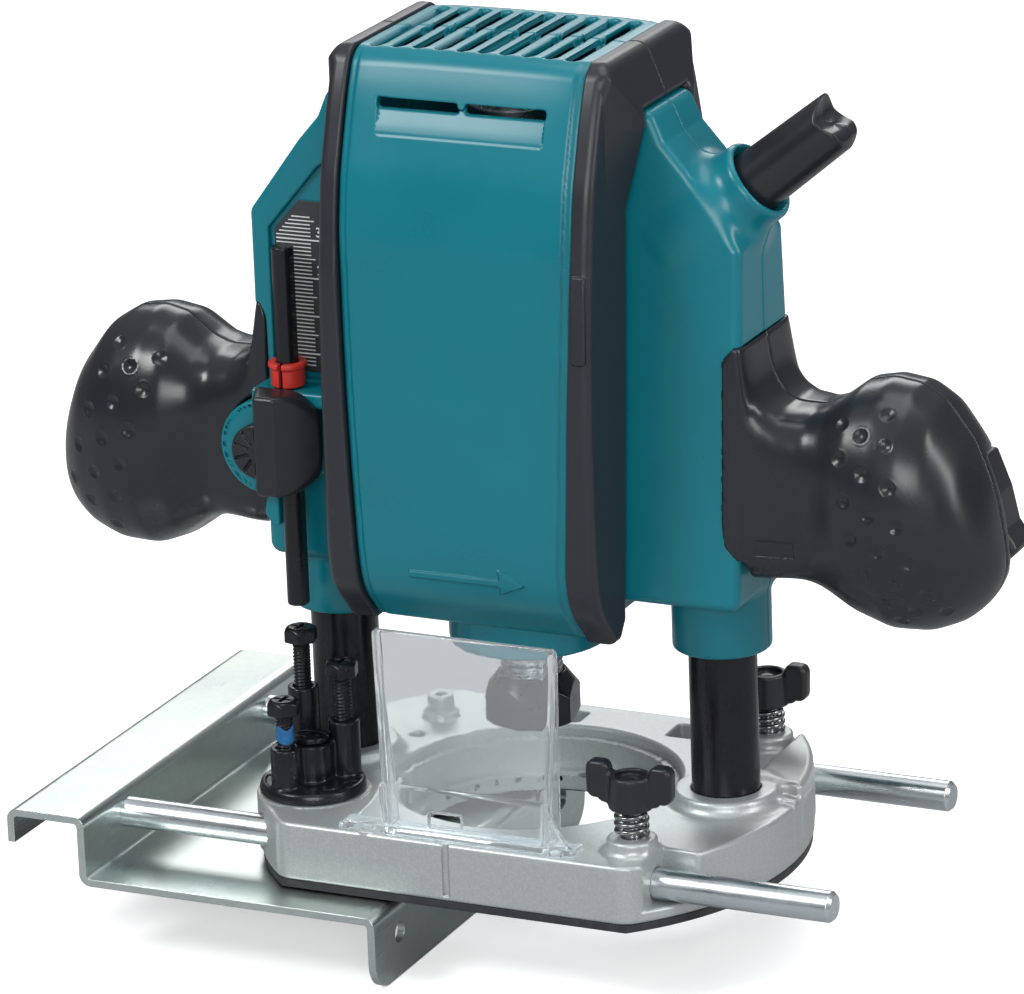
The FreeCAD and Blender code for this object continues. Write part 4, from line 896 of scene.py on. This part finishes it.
def guard(x, y, z):
    """Clear chip deflector with flared feet."""
    left = -19.6 - (z - 19.5) * 0.02647
    right = 26.6 + (z - 19.5) * 0.06427
    wall = meet(meet(left - x, x - right), -52.0 - y, 3.4)
    body = meet(wall, -(wall + 1.7), 0.25)
    back = -42.6 - np.clip((z - 20.0) / 52.0, 0, 1) * 5.6
    body = meet(body, y - back, 0.5)
    outline = [(-19.6, 17.6), (26.6, 17.6), (30.0, 72.4), (-21.0, 72.4)]
    body = meet(body, plate(x, z, y, outline, -60, -30, 0.0, 3.0), 0.5)
    flare = np.clip((30.5 - z) / 11.0, 0, 1) ** 1.5 * 9.5
    sides = meet(left - flare - x, x - right - flare * 0.7)
    wing = meet(sides, slab(y, -52.0, -50.2), 0.6)
    body = join(body, meet(wing, slab(z, 17.6, 31.0), 0.5), 0.5)
    body = join(body, box(x, y, z, (-31.5, 33.4, -52.0, -44.5, 17.58, 19.2), 0.5), 0.9)
    body = carve(body, box(x, y, z, (-6, 3, -60, -49, 21, 25), 0.6), 0.25)
    for centre in GUARD_PINS:
        body = join(body, drum(x, y, z, centre, 1.9, 12.5, 19, 0.3), 0.3)
    return body


field_piece("guard_sheet", guard, (-34, -53, 12), (35, -41.5, 73.5), 0.42, "base",
            "clear_plastic", "chip_guard", margin=0.8)

# ---------------------------------------------------------------------------------------------
# Stop turret: disc with notches, hub, and three posts with screws
# name, angle of the post in degrees, z of: post top, screw head top, screw end
STOPS = (("high", 127.0, 43.0, 59.1, 27.0), ("middle", 40.0, 35.7, 51.6, 26.5),
         ("low", 248.0, 31.5, 44.6, 24.0))


def post_at(degrees):
    angle = math.radians(degrees)
    return (TURRET[0] + POST_CIRCLE * math.cos(angle), TURRET[1] + POST_CIRCLE * math.sin(angle))


def turret(x, y, z):
    from_x, from_y, radius = about(x, y, TURRET)
    angle = np.arctan2(from_y, from_x)
    rim = radius - 13.8 + np.clip(z - 19.4, 0, 2) * 0.35
    body = meet(rim, slab(z, 17.86, 20.85), 0.7)
    spokes = 0.5 - np.abs(np.mod(angle + 0.35, math.tau / 3) - math.pi / 3)
    groove = meet(slab(radius, 10.4, 12.2), meet(20.3 - z, spokes, 0.1), 0.1)
    body = carve(body, groove, 0.3)
    body = join(body, drum(x, y, z, TURRET, 5.7, 18.2, 30.85, 0.6), 1.0)
    for _, degrees, top, _, _ in STOPS:
        body = join(body, drum(x, y, z, post_at(degrees), 4.0, 18.5, top, 0.5), 0.9)
    for _, degrees, _, _, _ in STOPS:
        body = carve(body, drum(x, y, z, post_at(degrees), 2.45, 18.8, 90), 0.4)
    return carve(body, radius - 3.05, 0.25)


field_piece("turret_body", turret, (-65, -44, 17), (-35, -14, 44), 0.34, "turret",
            "black_steel", "stop_turret", margin=0.8)


def stop_screw(centre, head_top, low):
    def field(x, y, z):
        x, y, radius = about(x, y, centre)
        shank = meet(thread(x, y, z, 2.38, 0.42, 0.95), slab(z, low, head_top - 1.2), 0.3)
        head = meet(hexagon(x, y, 7.8, 15), slab(z, head_top - 4.0, head_top), 0.3)
        head = meet(head, (radius - 3.2 + (z - head_top) * 1.3) * 0.6, 0.3)
        recess = np.maximum(cross(x, y, 0.5, 2.4), head_top - 1.4 - z)
        return carve(join(shank, head, 0.2), recess, 0.12)

    return field


for which, degrees, _, head_top, low in STOPS:
    post_x, post_y = post_at(degrees)
    field_piece(which + "_stop_screw", stop_screw((post_x, post_y), head_top, low),
                (post_x - 5, post_y - 5, low - 1), (post_x + 5, post_y + 5, head_top + 1), 0.2,
                which + "_stop", "black_steel", "stop_bolt_" + which, margin=0.3)
# post_x, post_y now hold the low post


def thread_lock(x, y, z):
    """Patch of thread locker on the low stop screw."""
    x, y, radius = about(x, y, (post_x, post_y))
    angle = np.arctan2(y, x)
    lump = 0.04 * np.sin(angle * 3 + z * 1.7) + 0.02 * np.sin(angle * 7 - z * 2.9)
    ends = slab(z, 33.0 + 0.4 * np.sin(angle * 2), 37.2 + 0.6 * np.sin(angle * 3 + 1))
    body = meet(meet(radius - 2.35 - lump, ends, 0.3), 2.05 - radius, 0.1)
    return meet(body, y - 0.6, 0.2) * 0.8


field_piece("low_stop_threadlock", thread_lock, (post_x - 3.2, post_y - 3.2, 31.5),
            (post_x + 3.2, post_y + 3.2, 39), 0.16, "low_stop", "black_steel", margin=0.4,
            finish="thread_locker")


def pivot(x, y, z):
    """Domed, slotted screw in the middle of the turret."""
    x, y, radius = about(x, y, TURRET)
    body = meet(radius - 4.65, slab(z, 30.95, 33.35), 0.6)
    body = meet(body, length(radius, z - 21.0) - 12.45, 0.3)
    body = join(body, drum(x, y, z, ORIGIN, 3.0, 6.1, 32, 0.3), 0.1)
    return carve(body, meet(np.abs(y) - 0.7, 32.0 - z, 0.05), 0.15)


field_piece("turret_screw", pivot, (-55.6, -34.4, 5.5), (-44.2, -23, 34), 0.3, "base",
            "black_steel", "turret_pivot", margin=0.4)

# ---------------------------------------------------------------------------------------------
# Wing bolts
WING = [(-11.5, 31.0), (11.5, 31.0), (11.8, 40.8), (5.6, 40.8), (4.6, 34.6), (-4.6, 34.6),
        (-5.6, 40.8), (-11.8, 40.8)]  # x from the bolt, z


def wing_knob(centre):
    def field(x, y, z):
        x, y, radius = about(x, y, centre)
        hub = meet((radius - 5.8 + (z - 28.9) * 0.056) * 0.99, slab(z, 28.9, 37.8), 0.8)
        thick = 2.15 + np.clip(8.6 - np.abs(np.abs(x) - 8.6) - 6.4, -2.2, 0) * 0.25
        wings = meet(poly(x, z, WING, 2.3), np.abs(y) - thick, 1.1)
        body = join(hub, wings, 1.2)
        body = carve(body, meet(radius - 3.9, 36.2 - z, 0.2), 0.4)
        dome = meet(length(radius, z - 33.0) - 4.15, radius - 2.9, 0.2)
        body = join(body, dome, 0.2)
        return carve(body, meet(radius - 2.5, z - 30.1, 0.2), 0.2)

    return field


def stud(centre):
    """A stud threaded below z = 27."""

    def field(x, y, z):
        x, y, radius = about(x, y, centre)
        rod = np.where(z < 27, thread(x, y, z, 2.48, 0.35, 0.8), (radius - 2.47) * 0.75)
        return meet(rod, slab(z, 13.6, 30.0), 0.4)

    return field


for which, (at_x, at_y) in WING_BOLTS.items():
    unit = which + "_wing_bolt"
    field_piece(which + "_wing_grip", wing_knob((at_x, at_y)), (at_x - 13, at_y - 7, 28),
                (at_x + 13, at_y + 7, 42), 0.32, unit, "soft_black", which + "_wing_knob",
                margin=0.6, finish="knob_plastic")
    field_piece(which + "_wing_thread", stud((at_x, at_y)), (at_x - 3.2, at_y - 3.2, 12.8),
                (at_x + 3.2, at_y + 3.2, 31), 0.22, unit, "bright_steel", which + "_wing_stud",
                margin=0.4, finish="ground_steel")


def rod_screws(x, y, z):
    """Cross-recessed screws at the left ends of the guide rods."""
    y, z = np.abs(y) - ROD_Y, z - ROD_Z
    head = drum(y, z, x, ORIGIN, 3.6, -103.0, -100.2, 0.7)
    body = join(head, drum(y, z, x, ORIGIN, 2.46, -100.3, -88.3, 0.3), 0.1)
    return carve(body, np.maximum(cross(y, z, 0.4, 1.7), x + 101.6), 0.1)


field_piece("guide_screws", rod_screws, (-104, -46, 4.5), (-87.5, 46, 14.5), 0.3, "fence",
            "bright_steel", "rod_screws", margin=0.5)


# ---------------------------------------------------------------------------------------------
# Collet nut and spindle
def collet_nut(x, y, z):
    radius = length(x, y)
    body = meet(hexagon(x, y, 22.0, 12), slab(z, 33.8, 46.7), 0.3)
    body = meet(body, (radius - 11.6 + (z - 42.8) * 0.75) * 0.8, 0.3)
    body = meet(body, (radius - 12.2 - (z - 34.4) * 1.3) * 0.6, 0.3)
    bore = np.where(z < 38.4, np.where(z < 35.6, 4.9, 6.7), 8.1)
    return carve(body, (radius - bore) * 0.9, 0.3)


SHAFT = [(6.6, 38.4), (8.0, 38.4), (8.0, 49.4), (7.2, 50.2), (7.2, 57.0), (7.45, 57.0),
         (7.45, 70.0), (9.0, 70.0), (9.0, 75.0), (5.5, 75.0), (5.5, 187.0), (3.97, 187.0),
         (3.97, 198.5), (-1, 198.5), (-1, 70.0), (4.2, 68.0), (4.2, 53.4), (5.4, 53.4)]  # radius, z


def shaft(x, y, z):
    """Turned profile, threaded below z = 50, with two flats."""
    radius = length(x, y)
    body = poly(radius, z, SHAFT, 0.15)
    groove = np.abs(np.mod(z / 1.5 - np.arctan2(y, x) / math.tau, 1.0) - 0.5)
    threaded = (radius - 7.95 + 0.55 * np.clip(1.25 - groove * 3, 0, 1)) * 0.7
    body = np.where(z < 50, np.maximum(body, threaded), body)
    return carve(body, np.maximum(6.25 - np.abs(x), slab(z, 50.6, 55.5)), 0.15)


field_piece("nut_body", collet_nut, (-14, -14, 30), (14, 14, 48), 0.36, "nut", "black_steel",
            "collet_nut", margin=1.0)
field_piece("spindle_body", shaft, (-10, -10, 37.5), (10, 10, 199.5), 0.42, "rotor",
            "bright_steel", "rotor_shaft", margin=0.8, finish="ground_steel")


# ---------------------------------------------------------------------------------------------
# Depth stop: pole, split pointer ring, clamp knob, scale
def pole(x, y, z):
    x, y, _ = about(x, y, POLE)
    body = drum(x, y, z, ORIGIN, 2.9, 65.2, 160.5, 0.5)
    return meet(body, np.where(z < 158, x - 2.45, x - 2.9), 0.15)


def pointer(x, y, z):
    x, y, radius = about(x, y, POLE)
    sleeve = meet(radius - 4.4, slab(z, 123.9, 129.4), 0.5)
    body = join(sleeve, meet(radius - 5.0, slab(z, 128.8, 130.3), 0.45), 0.3)
    body = carve(body, radius - 2.95, 0.25)
    return carve(body, meet(np.abs(x) - 0.5, y + 1), 0.2)


def clamp_knob(x, y, z):
    outline = [(-62.6, -26.0), (-58.4, -36.0), (-53.0, -36.0), (-43.6, -28.4), (-43.6, -26.0)]
    wing = plate(x, y, z, outline, 98.0, 124.5, 1.3, 1.0)
    wing = meet(wing, about(x, z, (-57, 111.2))[2] - 15.0, 1.3)
    wing = meet(wing, y + 27.0, 0.6)
    from_x, from_z, radius = about(x, z, CLAMP)
    angle = np.arctan2(from_z, from_x)
    ray = np.abs(np.mod(angle, math.pi / 5) - math.pi / 10) * radius - 0.32
    disc = meet(radius - 7.2, slab(y, -28.4, -24.68), 0.6)
    rays = np.maximum(np.maximum(ray, slab(radius, 2.6, 6.4)), y + 27.9)
    return join(wing, carve(disc, rays, 0.15), 0.4)


def scale(x, y, z):
    outline = [(-60.2, 126.0), (-46.2, 126.0), (-46.2, 171.0), (-53.2, 171.0), (-60.2, 163.2)]
    return plate(x, z, y, outline, -15.98, -15.5, 0.12, 1.0)


field_piece("stop_pole", pole, (-59, -25.3, 64), (-51.5, -17.9, 161.5), 0.4, "depth_pole",
            "black_steel", "stopper_pole", margin=0.5)
field_piece("pointer_ring", pointer, (-61, -27.3, 123), (-49.6, -16, 131.2), 0.28, "pointer",
            "red_plastic", "depth_pointer", margin=0.5)
field_piece("clamp_handle", clamp_knob, (-70.3, -37.2, 95.5), (-42, -24, 126.5), 0.42, "clamp",
            "soft_black", "clamp_knob", margin=1.2, finish="knob_plastic")
field_piece("scale_plate", scale, (-61.5, -16.6, 125), (-45, -15, 172), 0.3, "motor_unit",
            "black_plastic", "depth_scale", margin=0.4, finish="scale_plate")


def scale_tick(n):
    """A millimetre line, longer at each fifth and tenth, cut short by the plate's corner."""
    end = -46.7 if n % 10 == 0 else (-48.9 if n % 5 == 0 else -50.0)
    start = -59.7 if n < 31 else -59.7 + (n - 31) * 0.9
    half = 0.19 if n % 10 == 0 else 0.15
    z = 130.8 + n
    loops = []
    for inset, y in ((0.0, -15.94), (0.0, -16.06), (0.05, -16.10)):
        x0, x1 = start + inset, end - inset
        low, high = z - half + inset * 0.5, z + half - inset * 0.5
        loops.append([(x0, y, low), (x1, y, low), (x1, y, high), (x0, y, high)])
    return loops


def numeral(n):
    curve = bpy.data.curves.new("numeral_%d" % n, "FONT")
    curve.body, curve.size, curve.extrude = str(n), 3.6 * MM, 0.06 * MM
    curve.align_x, curve.align_y = "CENTER", "CENTER"
    curve.bevel_depth, curve.bevel_resolution = 0.03 * MM, 1
    text = link(curve, "numeral_curve_%d" % n)
    place = Matrix.Translation(Vector((-47.7, -16.02, 132.9 + 10 * n)) * MM)
    text.matrix_world = place @ Matrix.Rotation(math.pi / 2, 4, "X")
    bpy.context.view_layer.update()
    shown = text.evaluated_get(bpy.context.evaluated_depsgraph_get())
    mesh = bpy.data.meshes.new_from_object(shown)
    mesh.transform(text.matrix_world)
    bpy.data.objects.remove(text)
    edit = bmesh.new()
    edit.from_mesh(mesh)
    bmesh.ops.remove_doubles(edit, verts=edit.verts, dist=1e-6)
    edit.to_mesh(mesh)
    edit.free()
    mesh.materials.clear()
    mesh.name = "scale_numeral_%d" % n
    settle(link(mesh, mesh.name), "motor_unit", "scale_print", finish="white_print")


ring_piece("scale_ticks", [scale_tick(n) for n in range(-3, 37)], 30, "motor_unit",
           "scale_print", finish="white_print")
for n in range(4):
    numeral(n)

# ---------------------------------------------------------------------------------------------
# Cord: tapered boot with a ragged end, and the cord inside it
BOOT_END = smooth_table([  # distance across the cord, distance along it
    (-9, 37.6), (-7.0, 38.6), (-5.2, 40.6), (-2.6, 40.8), (0.4, 38.6), (3.0, 37.8),
    (5.2, 39.4), (7.2, 42.0), (9, 44.2)], 0.7)


def boot(x, y, z):
    along, across, radius = cord_axes(x, y, z)
    side = 8.0 - 0.7 * np.clip((along - 8) / 34, 0, 1)
    end = BOOT_END(across) + 0.25 * np.sin(np.arctan2(across, y) * 3)
    body = meet((radius - side) * 0.97, np.maximum(2.0 - along, (along - end) * 0.72), 0.5)
    return carve(body, np.maximum(radius - 3.56, along - 37.2), 0.3)


def cord(x, y, z):
    along, across, radius = cord_axes(x, y, z)
    end = (along - 36.8 - 0.4 * np.sin(np.arctan2(across, y) * 3)) * 0.85
    return meet(radius - 3.5, np.maximum(0.2 - along, end), 0.5)


field_piece("cord_boot", boot, (50, -8.8, 167), (98, 8.8, 210), 0.45, "motor_unit",
            "soft_black", "cord_guard", margin=1.2)
field_piece("cord_jacket", cord, (52, -4.2, 168), (94, 4.2, 206), 0.45, "motor_unit",
            "soft_black", "power_cord", margin=0.6)

# ---------------------------------------------------------------------------------------------
# Controls at the rear: trigger and lock-on button on the right, plunge lock lever on the left
TRIGGER = [(112.6, 87.5), (127.8, 87.5), (131.4, 91.4), (130.4, 93.4), (128.2, 96.4),
           (126.2, 105.0), (122.4, 114.4), (112.6, 114.4)]  # x, z
LEVER_ARM = [(-56.0, 94.0), (-48.6, 105.0), (-62.0, 117.6), (-72.0, 126.0), (-81.0, 130.0),
             (-80.6, 122.6), (-72.0, 113.4)]  # x, z


def trigger(x, y, z):
    return meet(plate(x, z, y, TRIGGER, 4.0, 16.5, 2.0, 1.2), 114.0 - x, 0.5)


def button(x, y, z):
    x, z, radius = about(x, z, BUTTON)
    body = meet(radius - 4.5, slab(y, 16.0, 24.5), 0.7)
    body = meet(body, length(radius, y - 14.5) - 9.95, 0.5)
    body = join(body, drum(x, z, y, ORIGIN, 2.0, 11.0, 17.0, 0.2), 0.2)
    lines = np.abs(np.mod(z, 1.6) - 0.8) - 0.18
    return carve(body, np.maximum(lines, 24.1 - y - 0.02 * radius * radius), 0.1)


def lever(x, y, z):
    body = drum(x, z, y, LEVER, 7.5, 21.6, 27.6, 0.9)
    body = join(body, plate(x, z, y, LEVER_ARM, 23.6, 27.6, 0.9, 2.2), 0.8)
    for k in range(4):  # grooves across the arm
        from_x, from_z, away = about(x, z, (-69.5 - 2.3 * k, 118.6 + 1.9 * k))
        line = np.abs(from_x * 0.64 + from_z * 0.77) - 0.28
        body = carve(body, np.maximum(np.maximum(line, 27.2 - y), away - 3.2), 0.1)
    return carve(body, about(x, z, LEVER)[2] - 3.0, 0.3)


def lever_screw(x, y, z):
    x, z, _ = about(x, z, LEVER)
    body = drum(x, z, y, ORIGIN, 4.6, 27.65, 30.25, 0.7)
    body = join(body, drum(x, z, y, ORIGIN, 2.97, 9.1, 28, 0.3), 0.1)
    return carve(body, meet(np.abs(z) - 0.55, 29.2 - y), 0.12)


field_piece("trigger_hook", trigger, (112, 3, 86), (132, 17.6, 116), 0.4, "trigger",
            "black_plastic", "switch_trigger", margin=1.0)
field_piece("lock_on_button", button, (92.8, 10, 116), (103.2, 25.5, 126), 0.3, "button",
            "black_plastic", "lock_button", margin=0.6)
field_piece("plunge_lever", lever, (-82, 20.6, 91.5), (-44.6, 28.6, 131), 0.4, "plunge_lock",
            "soft_black", "lock_lever", margin=1.0, finish="knob_plastic")
field_piece("plunge_lever_screw", lever_screw, (-58.8, 8.2, 94.5), (-47.8, 31, 105.5), 0.3,
            "plunge_lock", "black_steel", "lock_screw", margin=0.6)

# ---------------------------------------------------------------------------------------------
# Coil springs inside the hollow columns
COIL_RADIUS, COIL_WIRE, COIL_PITCH, COIL_LOW = 5.5, 0.7, 8.6, 21.0
COIL_TURNS, COIL_STEPS, COIL_SIDES = 17, 26, 10


def coil(middle):
    loops = []
    for i in range(COIL_TURNS * COIL_STEPS + 1):
        turn = math.tau * i / COIL_STEPS
        loop = []
        for k in range(COIL_SIDES):
            angle = math.tau * k / COIL_SIDES
            radius = COIL_RADIUS + COIL_WIRE * math.cos(angle)
            z = COIL_LOW + COIL_PITCH * i / COIL_STEPS + COIL_WIRE * math.sin(angle)
            loop.append((middle + radius * math.cos(turn), radius * math.sin(turn), z))
        loops.append(loop)
    return loops


coils = ring_piece("plunge_coils", [coil(-COLUMN_X), coil(COLUMN_X)], 60, "base",
                   "spring_steel", "plunge_springs")
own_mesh(coils)

# ---------------------------------------------------------------------------------------------
# Finishes of the CAD nodes; any not listed are black plastic
CAD_FINISHES = {
    "sole_black": "sole_plate",
    "cast_aluminium": "base_casting",
    "bright_steel": "sole_screws column_screws guide_rods bearing_outer_rings "
                    "bearing_inner_rings bearing_balls bearing_retainer clamp_screw",
    "blacked_column": "left_column right_column",
    "spring_steel": "plunge_springs wing_springs",
    "clear_plastic": "chip_guard",
    "black_steel": "stop_turret turret_pivot stop_bolt_high stop_bolt_middle stop_bolt_low "
                   "housing_screws collet_nut stopper_pole lock_screw",
    "ground_steel": "front_wing_stud rear_wing_stud rotor_shaft collet_cone",
    "knob_plastic": "front_wing_knob rear_wing_knob clamp_knob lock_lever",
    "zinc_sheet": "fence_plate rod_screws",
    "scale_plate": "depth_scale",
    "sintered_bronze": "column_bushes brush_holders",
    "soft_black": "cord_guard power_cord",
    "laminated_steel": "stator_core armature_core",
    "copper_wire": "field_coils armature_windings commutator",
    "carbon": "carbon_brushes",
    "fan_plastic": "cooling_fan",
    "red_plastic": "depth_pointer",
}
finish_of = {name: key for key, names in CAD_FINISHES.items() for name in names.split()}
for name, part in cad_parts.items():
    if not part.hide_render:
        part.data.materials.clear()
        part.data.materials.append(FINISHES[finish_of.get(name, "black_plastic")])


# ---------------------------------------------------------------------------------------------
# Floor, world, lights and camera, in metres unless named otherwise
def floor_material():
    """Pale and slightly glowing to the camera, grey to every other ray."""
    material, tree, shader = new_material("floor_pale")
    cloud = add_node(tree, "ShaderNodeTexNoise", {"Scale": 6.0}).outputs["Fac"]
    level = {"To Min": 0.88, "To Max": 0.92, "Value": cloud}
    level = add_node(tree, "ShaderNodeMapRange", level).outputs["Result"]
    grey = add_node(tree, "ShaderNodeCombineColor", {"Red": level, "Green": level, "Blue": level})
    tree.links.new(grey.outputs["Color"], shader.inputs["Base Color"])
    shader.inputs["Roughness"].default_value = 0.8
    shader.inputs["Specular IOR Level"].default_value = 0.1
    dark = add_node(tree, "ShaderNodeBsdfDiffuse", {"Color": (0.42, 0.43, 0.44, 1)})
    glow = add_node(tree, "ShaderNodeEmission", {"Strength": 0.50})
    pale = add_node(tree, "ShaderNodeAddShader",
                    {0: shader.outputs["BSDF"], 1: glow.outputs["Emission"]})
    mixed = add_node(tree, "ShaderNodeMixShader", {
        "Fac": add_node(tree, "ShaderNodeLightPath").outputs["Is Camera Ray"],
        1: dark.outputs["BSDF"], 2: pale.outputs["Shader"]})
    tree.links.new(mixed.outputs["Shader"], tree.nodes["Material Output"].inputs["Surface"])
    return material


def add_floor():
    material = floor_material()
    edit = bmesh.new()
    bmesh.ops.create_grid(edit, x_segments=2, y_segments=2, size=6.0)
    mesh = bpy.data.meshes.new("floor")
    edit.to_mesh(mesh)
    edit.free()
    floor = link(mesh, "floor")
    floor.location.z = CAD_BOX[0].z - 0.0002
    floor.data.materials.append(material)


def add_world():
    """A grey gradient, brighter overhead, that the camera sees as white."""
    world = bpy.data.worlds.new("studio")
    bpy.context.scene.world = world
    world.use_nodes = True
    tree = world.node_tree
    coords = add_node(tree, "ShaderNodeTexCoord").outputs["Generated"]
    height = add_node(tree, "ShaderNodeSeparateXYZ", {0: coords}).outputs["Z"]
    ramp = add_node(tree, "ShaderNodeValToRGB", {"Fac": height})
    low, high = ramp.color_ramp.elements
    low.position, low.color = 0.0, (0.20, 0.21, 0.23, 1)
    high.position, high.color = 1.0, (0.95, 0.97, 1.0, 1)
    ramp.color_ramp.elements.new(0.30).color = (0.30, 0.31, 0.34, 1)
    sky = tree.nodes["Background"]
    sky.inputs["Strength"].default_value = 0.58
    tree.links.new(ramp.outputs["Color"], sky.inputs["Color"])
    white = add_node(tree, "ShaderNodeBackground", {"Color": (1, 1, 1, 1), "Strength": 1.0})
    mixed = add_node(tree, "ShaderNodeMixShader", {
        "Fac": add_node(tree, "ShaderNodeLightPath").outputs["Is Camera Ray"],
        1: sky.outputs["Background"], 2: white.outputs["Background"]})
    tree.links.new(mixed.outputs["Shader"], tree.nodes["World Output"].inputs["Surface"])


def area_light(name, at, size, power, target=(0, 0, 0.1)):
    """A rectangular light aimed at a target; power in watts."""
    light = bpy.data.lights.new(name, "AREA")
    light.shape, light.energy = "RECTANGLE", power
    light.size, light.size_y = size
    lamp = link(light, name)
    lamp.location = at
    lamp.rotation_euler = (Vector(target) - Vector(at)).to_track_quat("-Z", "Y").to_euler()


def add_camera(azimuth, elevation, roll, distance, aim_right, aim_up, lens):
    """A camera facing the origin's side; angles in degrees, lengths in mm.

    The origin lies `distance` ahead, `aim_right` to the right and `aim_up` above the view's axis.
    """
    azimuth, elevation, roll = [math.radians(a) for a in (azimuth, elevation, roll)]
    level = Vector((math.cos(azimuth), math.sin(azimuth), 0))
    look = Vector((-math.sin(azimuth) * math.cos(elevation),
                   math.cos(azimuth) * math.cos(elevation), -math.sin(elevation)))
    upright = level.cross(look)
    right = level * math.cos(roll) + upright * math.sin(roll)
    above = upright * math.cos(roll) - level * math.sin(roll)
    centre = -(right * aim_right + above * aim_up + look * distance)
    camera = link(bpy.data.cameras.new("camera"), "camera")
    rows = [(right[k], above[k], -look[k], centre[k] * MM) for k in range(3)]
    camera.matrix_world = Matrix(rows + [(0, 0, 0, 1)])
    camera.data.sensor_width = 36
    camera.data.lens = lens
    camera.data.clip_start, camera.data.clip_end = 0.1, 30
    bpy.context.scene.camera = camera


add_floor()
add_world()
area_light("key", at=(-0.75, -0.95, 1.15), size=(0.5, 0.5), power=11.0, target=(0, 0, 0.11))
area_light("front_fill", at=(0.55, -1.35, 0.55), size=(0.8, 0.4), power=7.5)
area_light("right_strip", at=(1.25, -0.15, 0.65), size=(0.2, 0.9), power=6.0)
area_light("top", at=(0.1, 0.15, 1.5), size=(0.9, 0.9), power=5.5)
area_light("back", at=(-0.5, 1.3, 0.9), size=(1.0, 0.5), power=6.0)
add_camera(azimuth=25.391, elevation=18.183, roll=-2.083, distance=1681.36,
           aim_right=6.870513, aim_up=-88.255285, lens=228.336328)

scene = bpy.context.scene
scene.view_settings.view_transform = "Standard"
scene.cycles.use_denoising = True
scene.cycles.max_bounces = 10
scene.cycles.transmission_bounces = 8
scene.cycles.transparent_max_bounces = 12
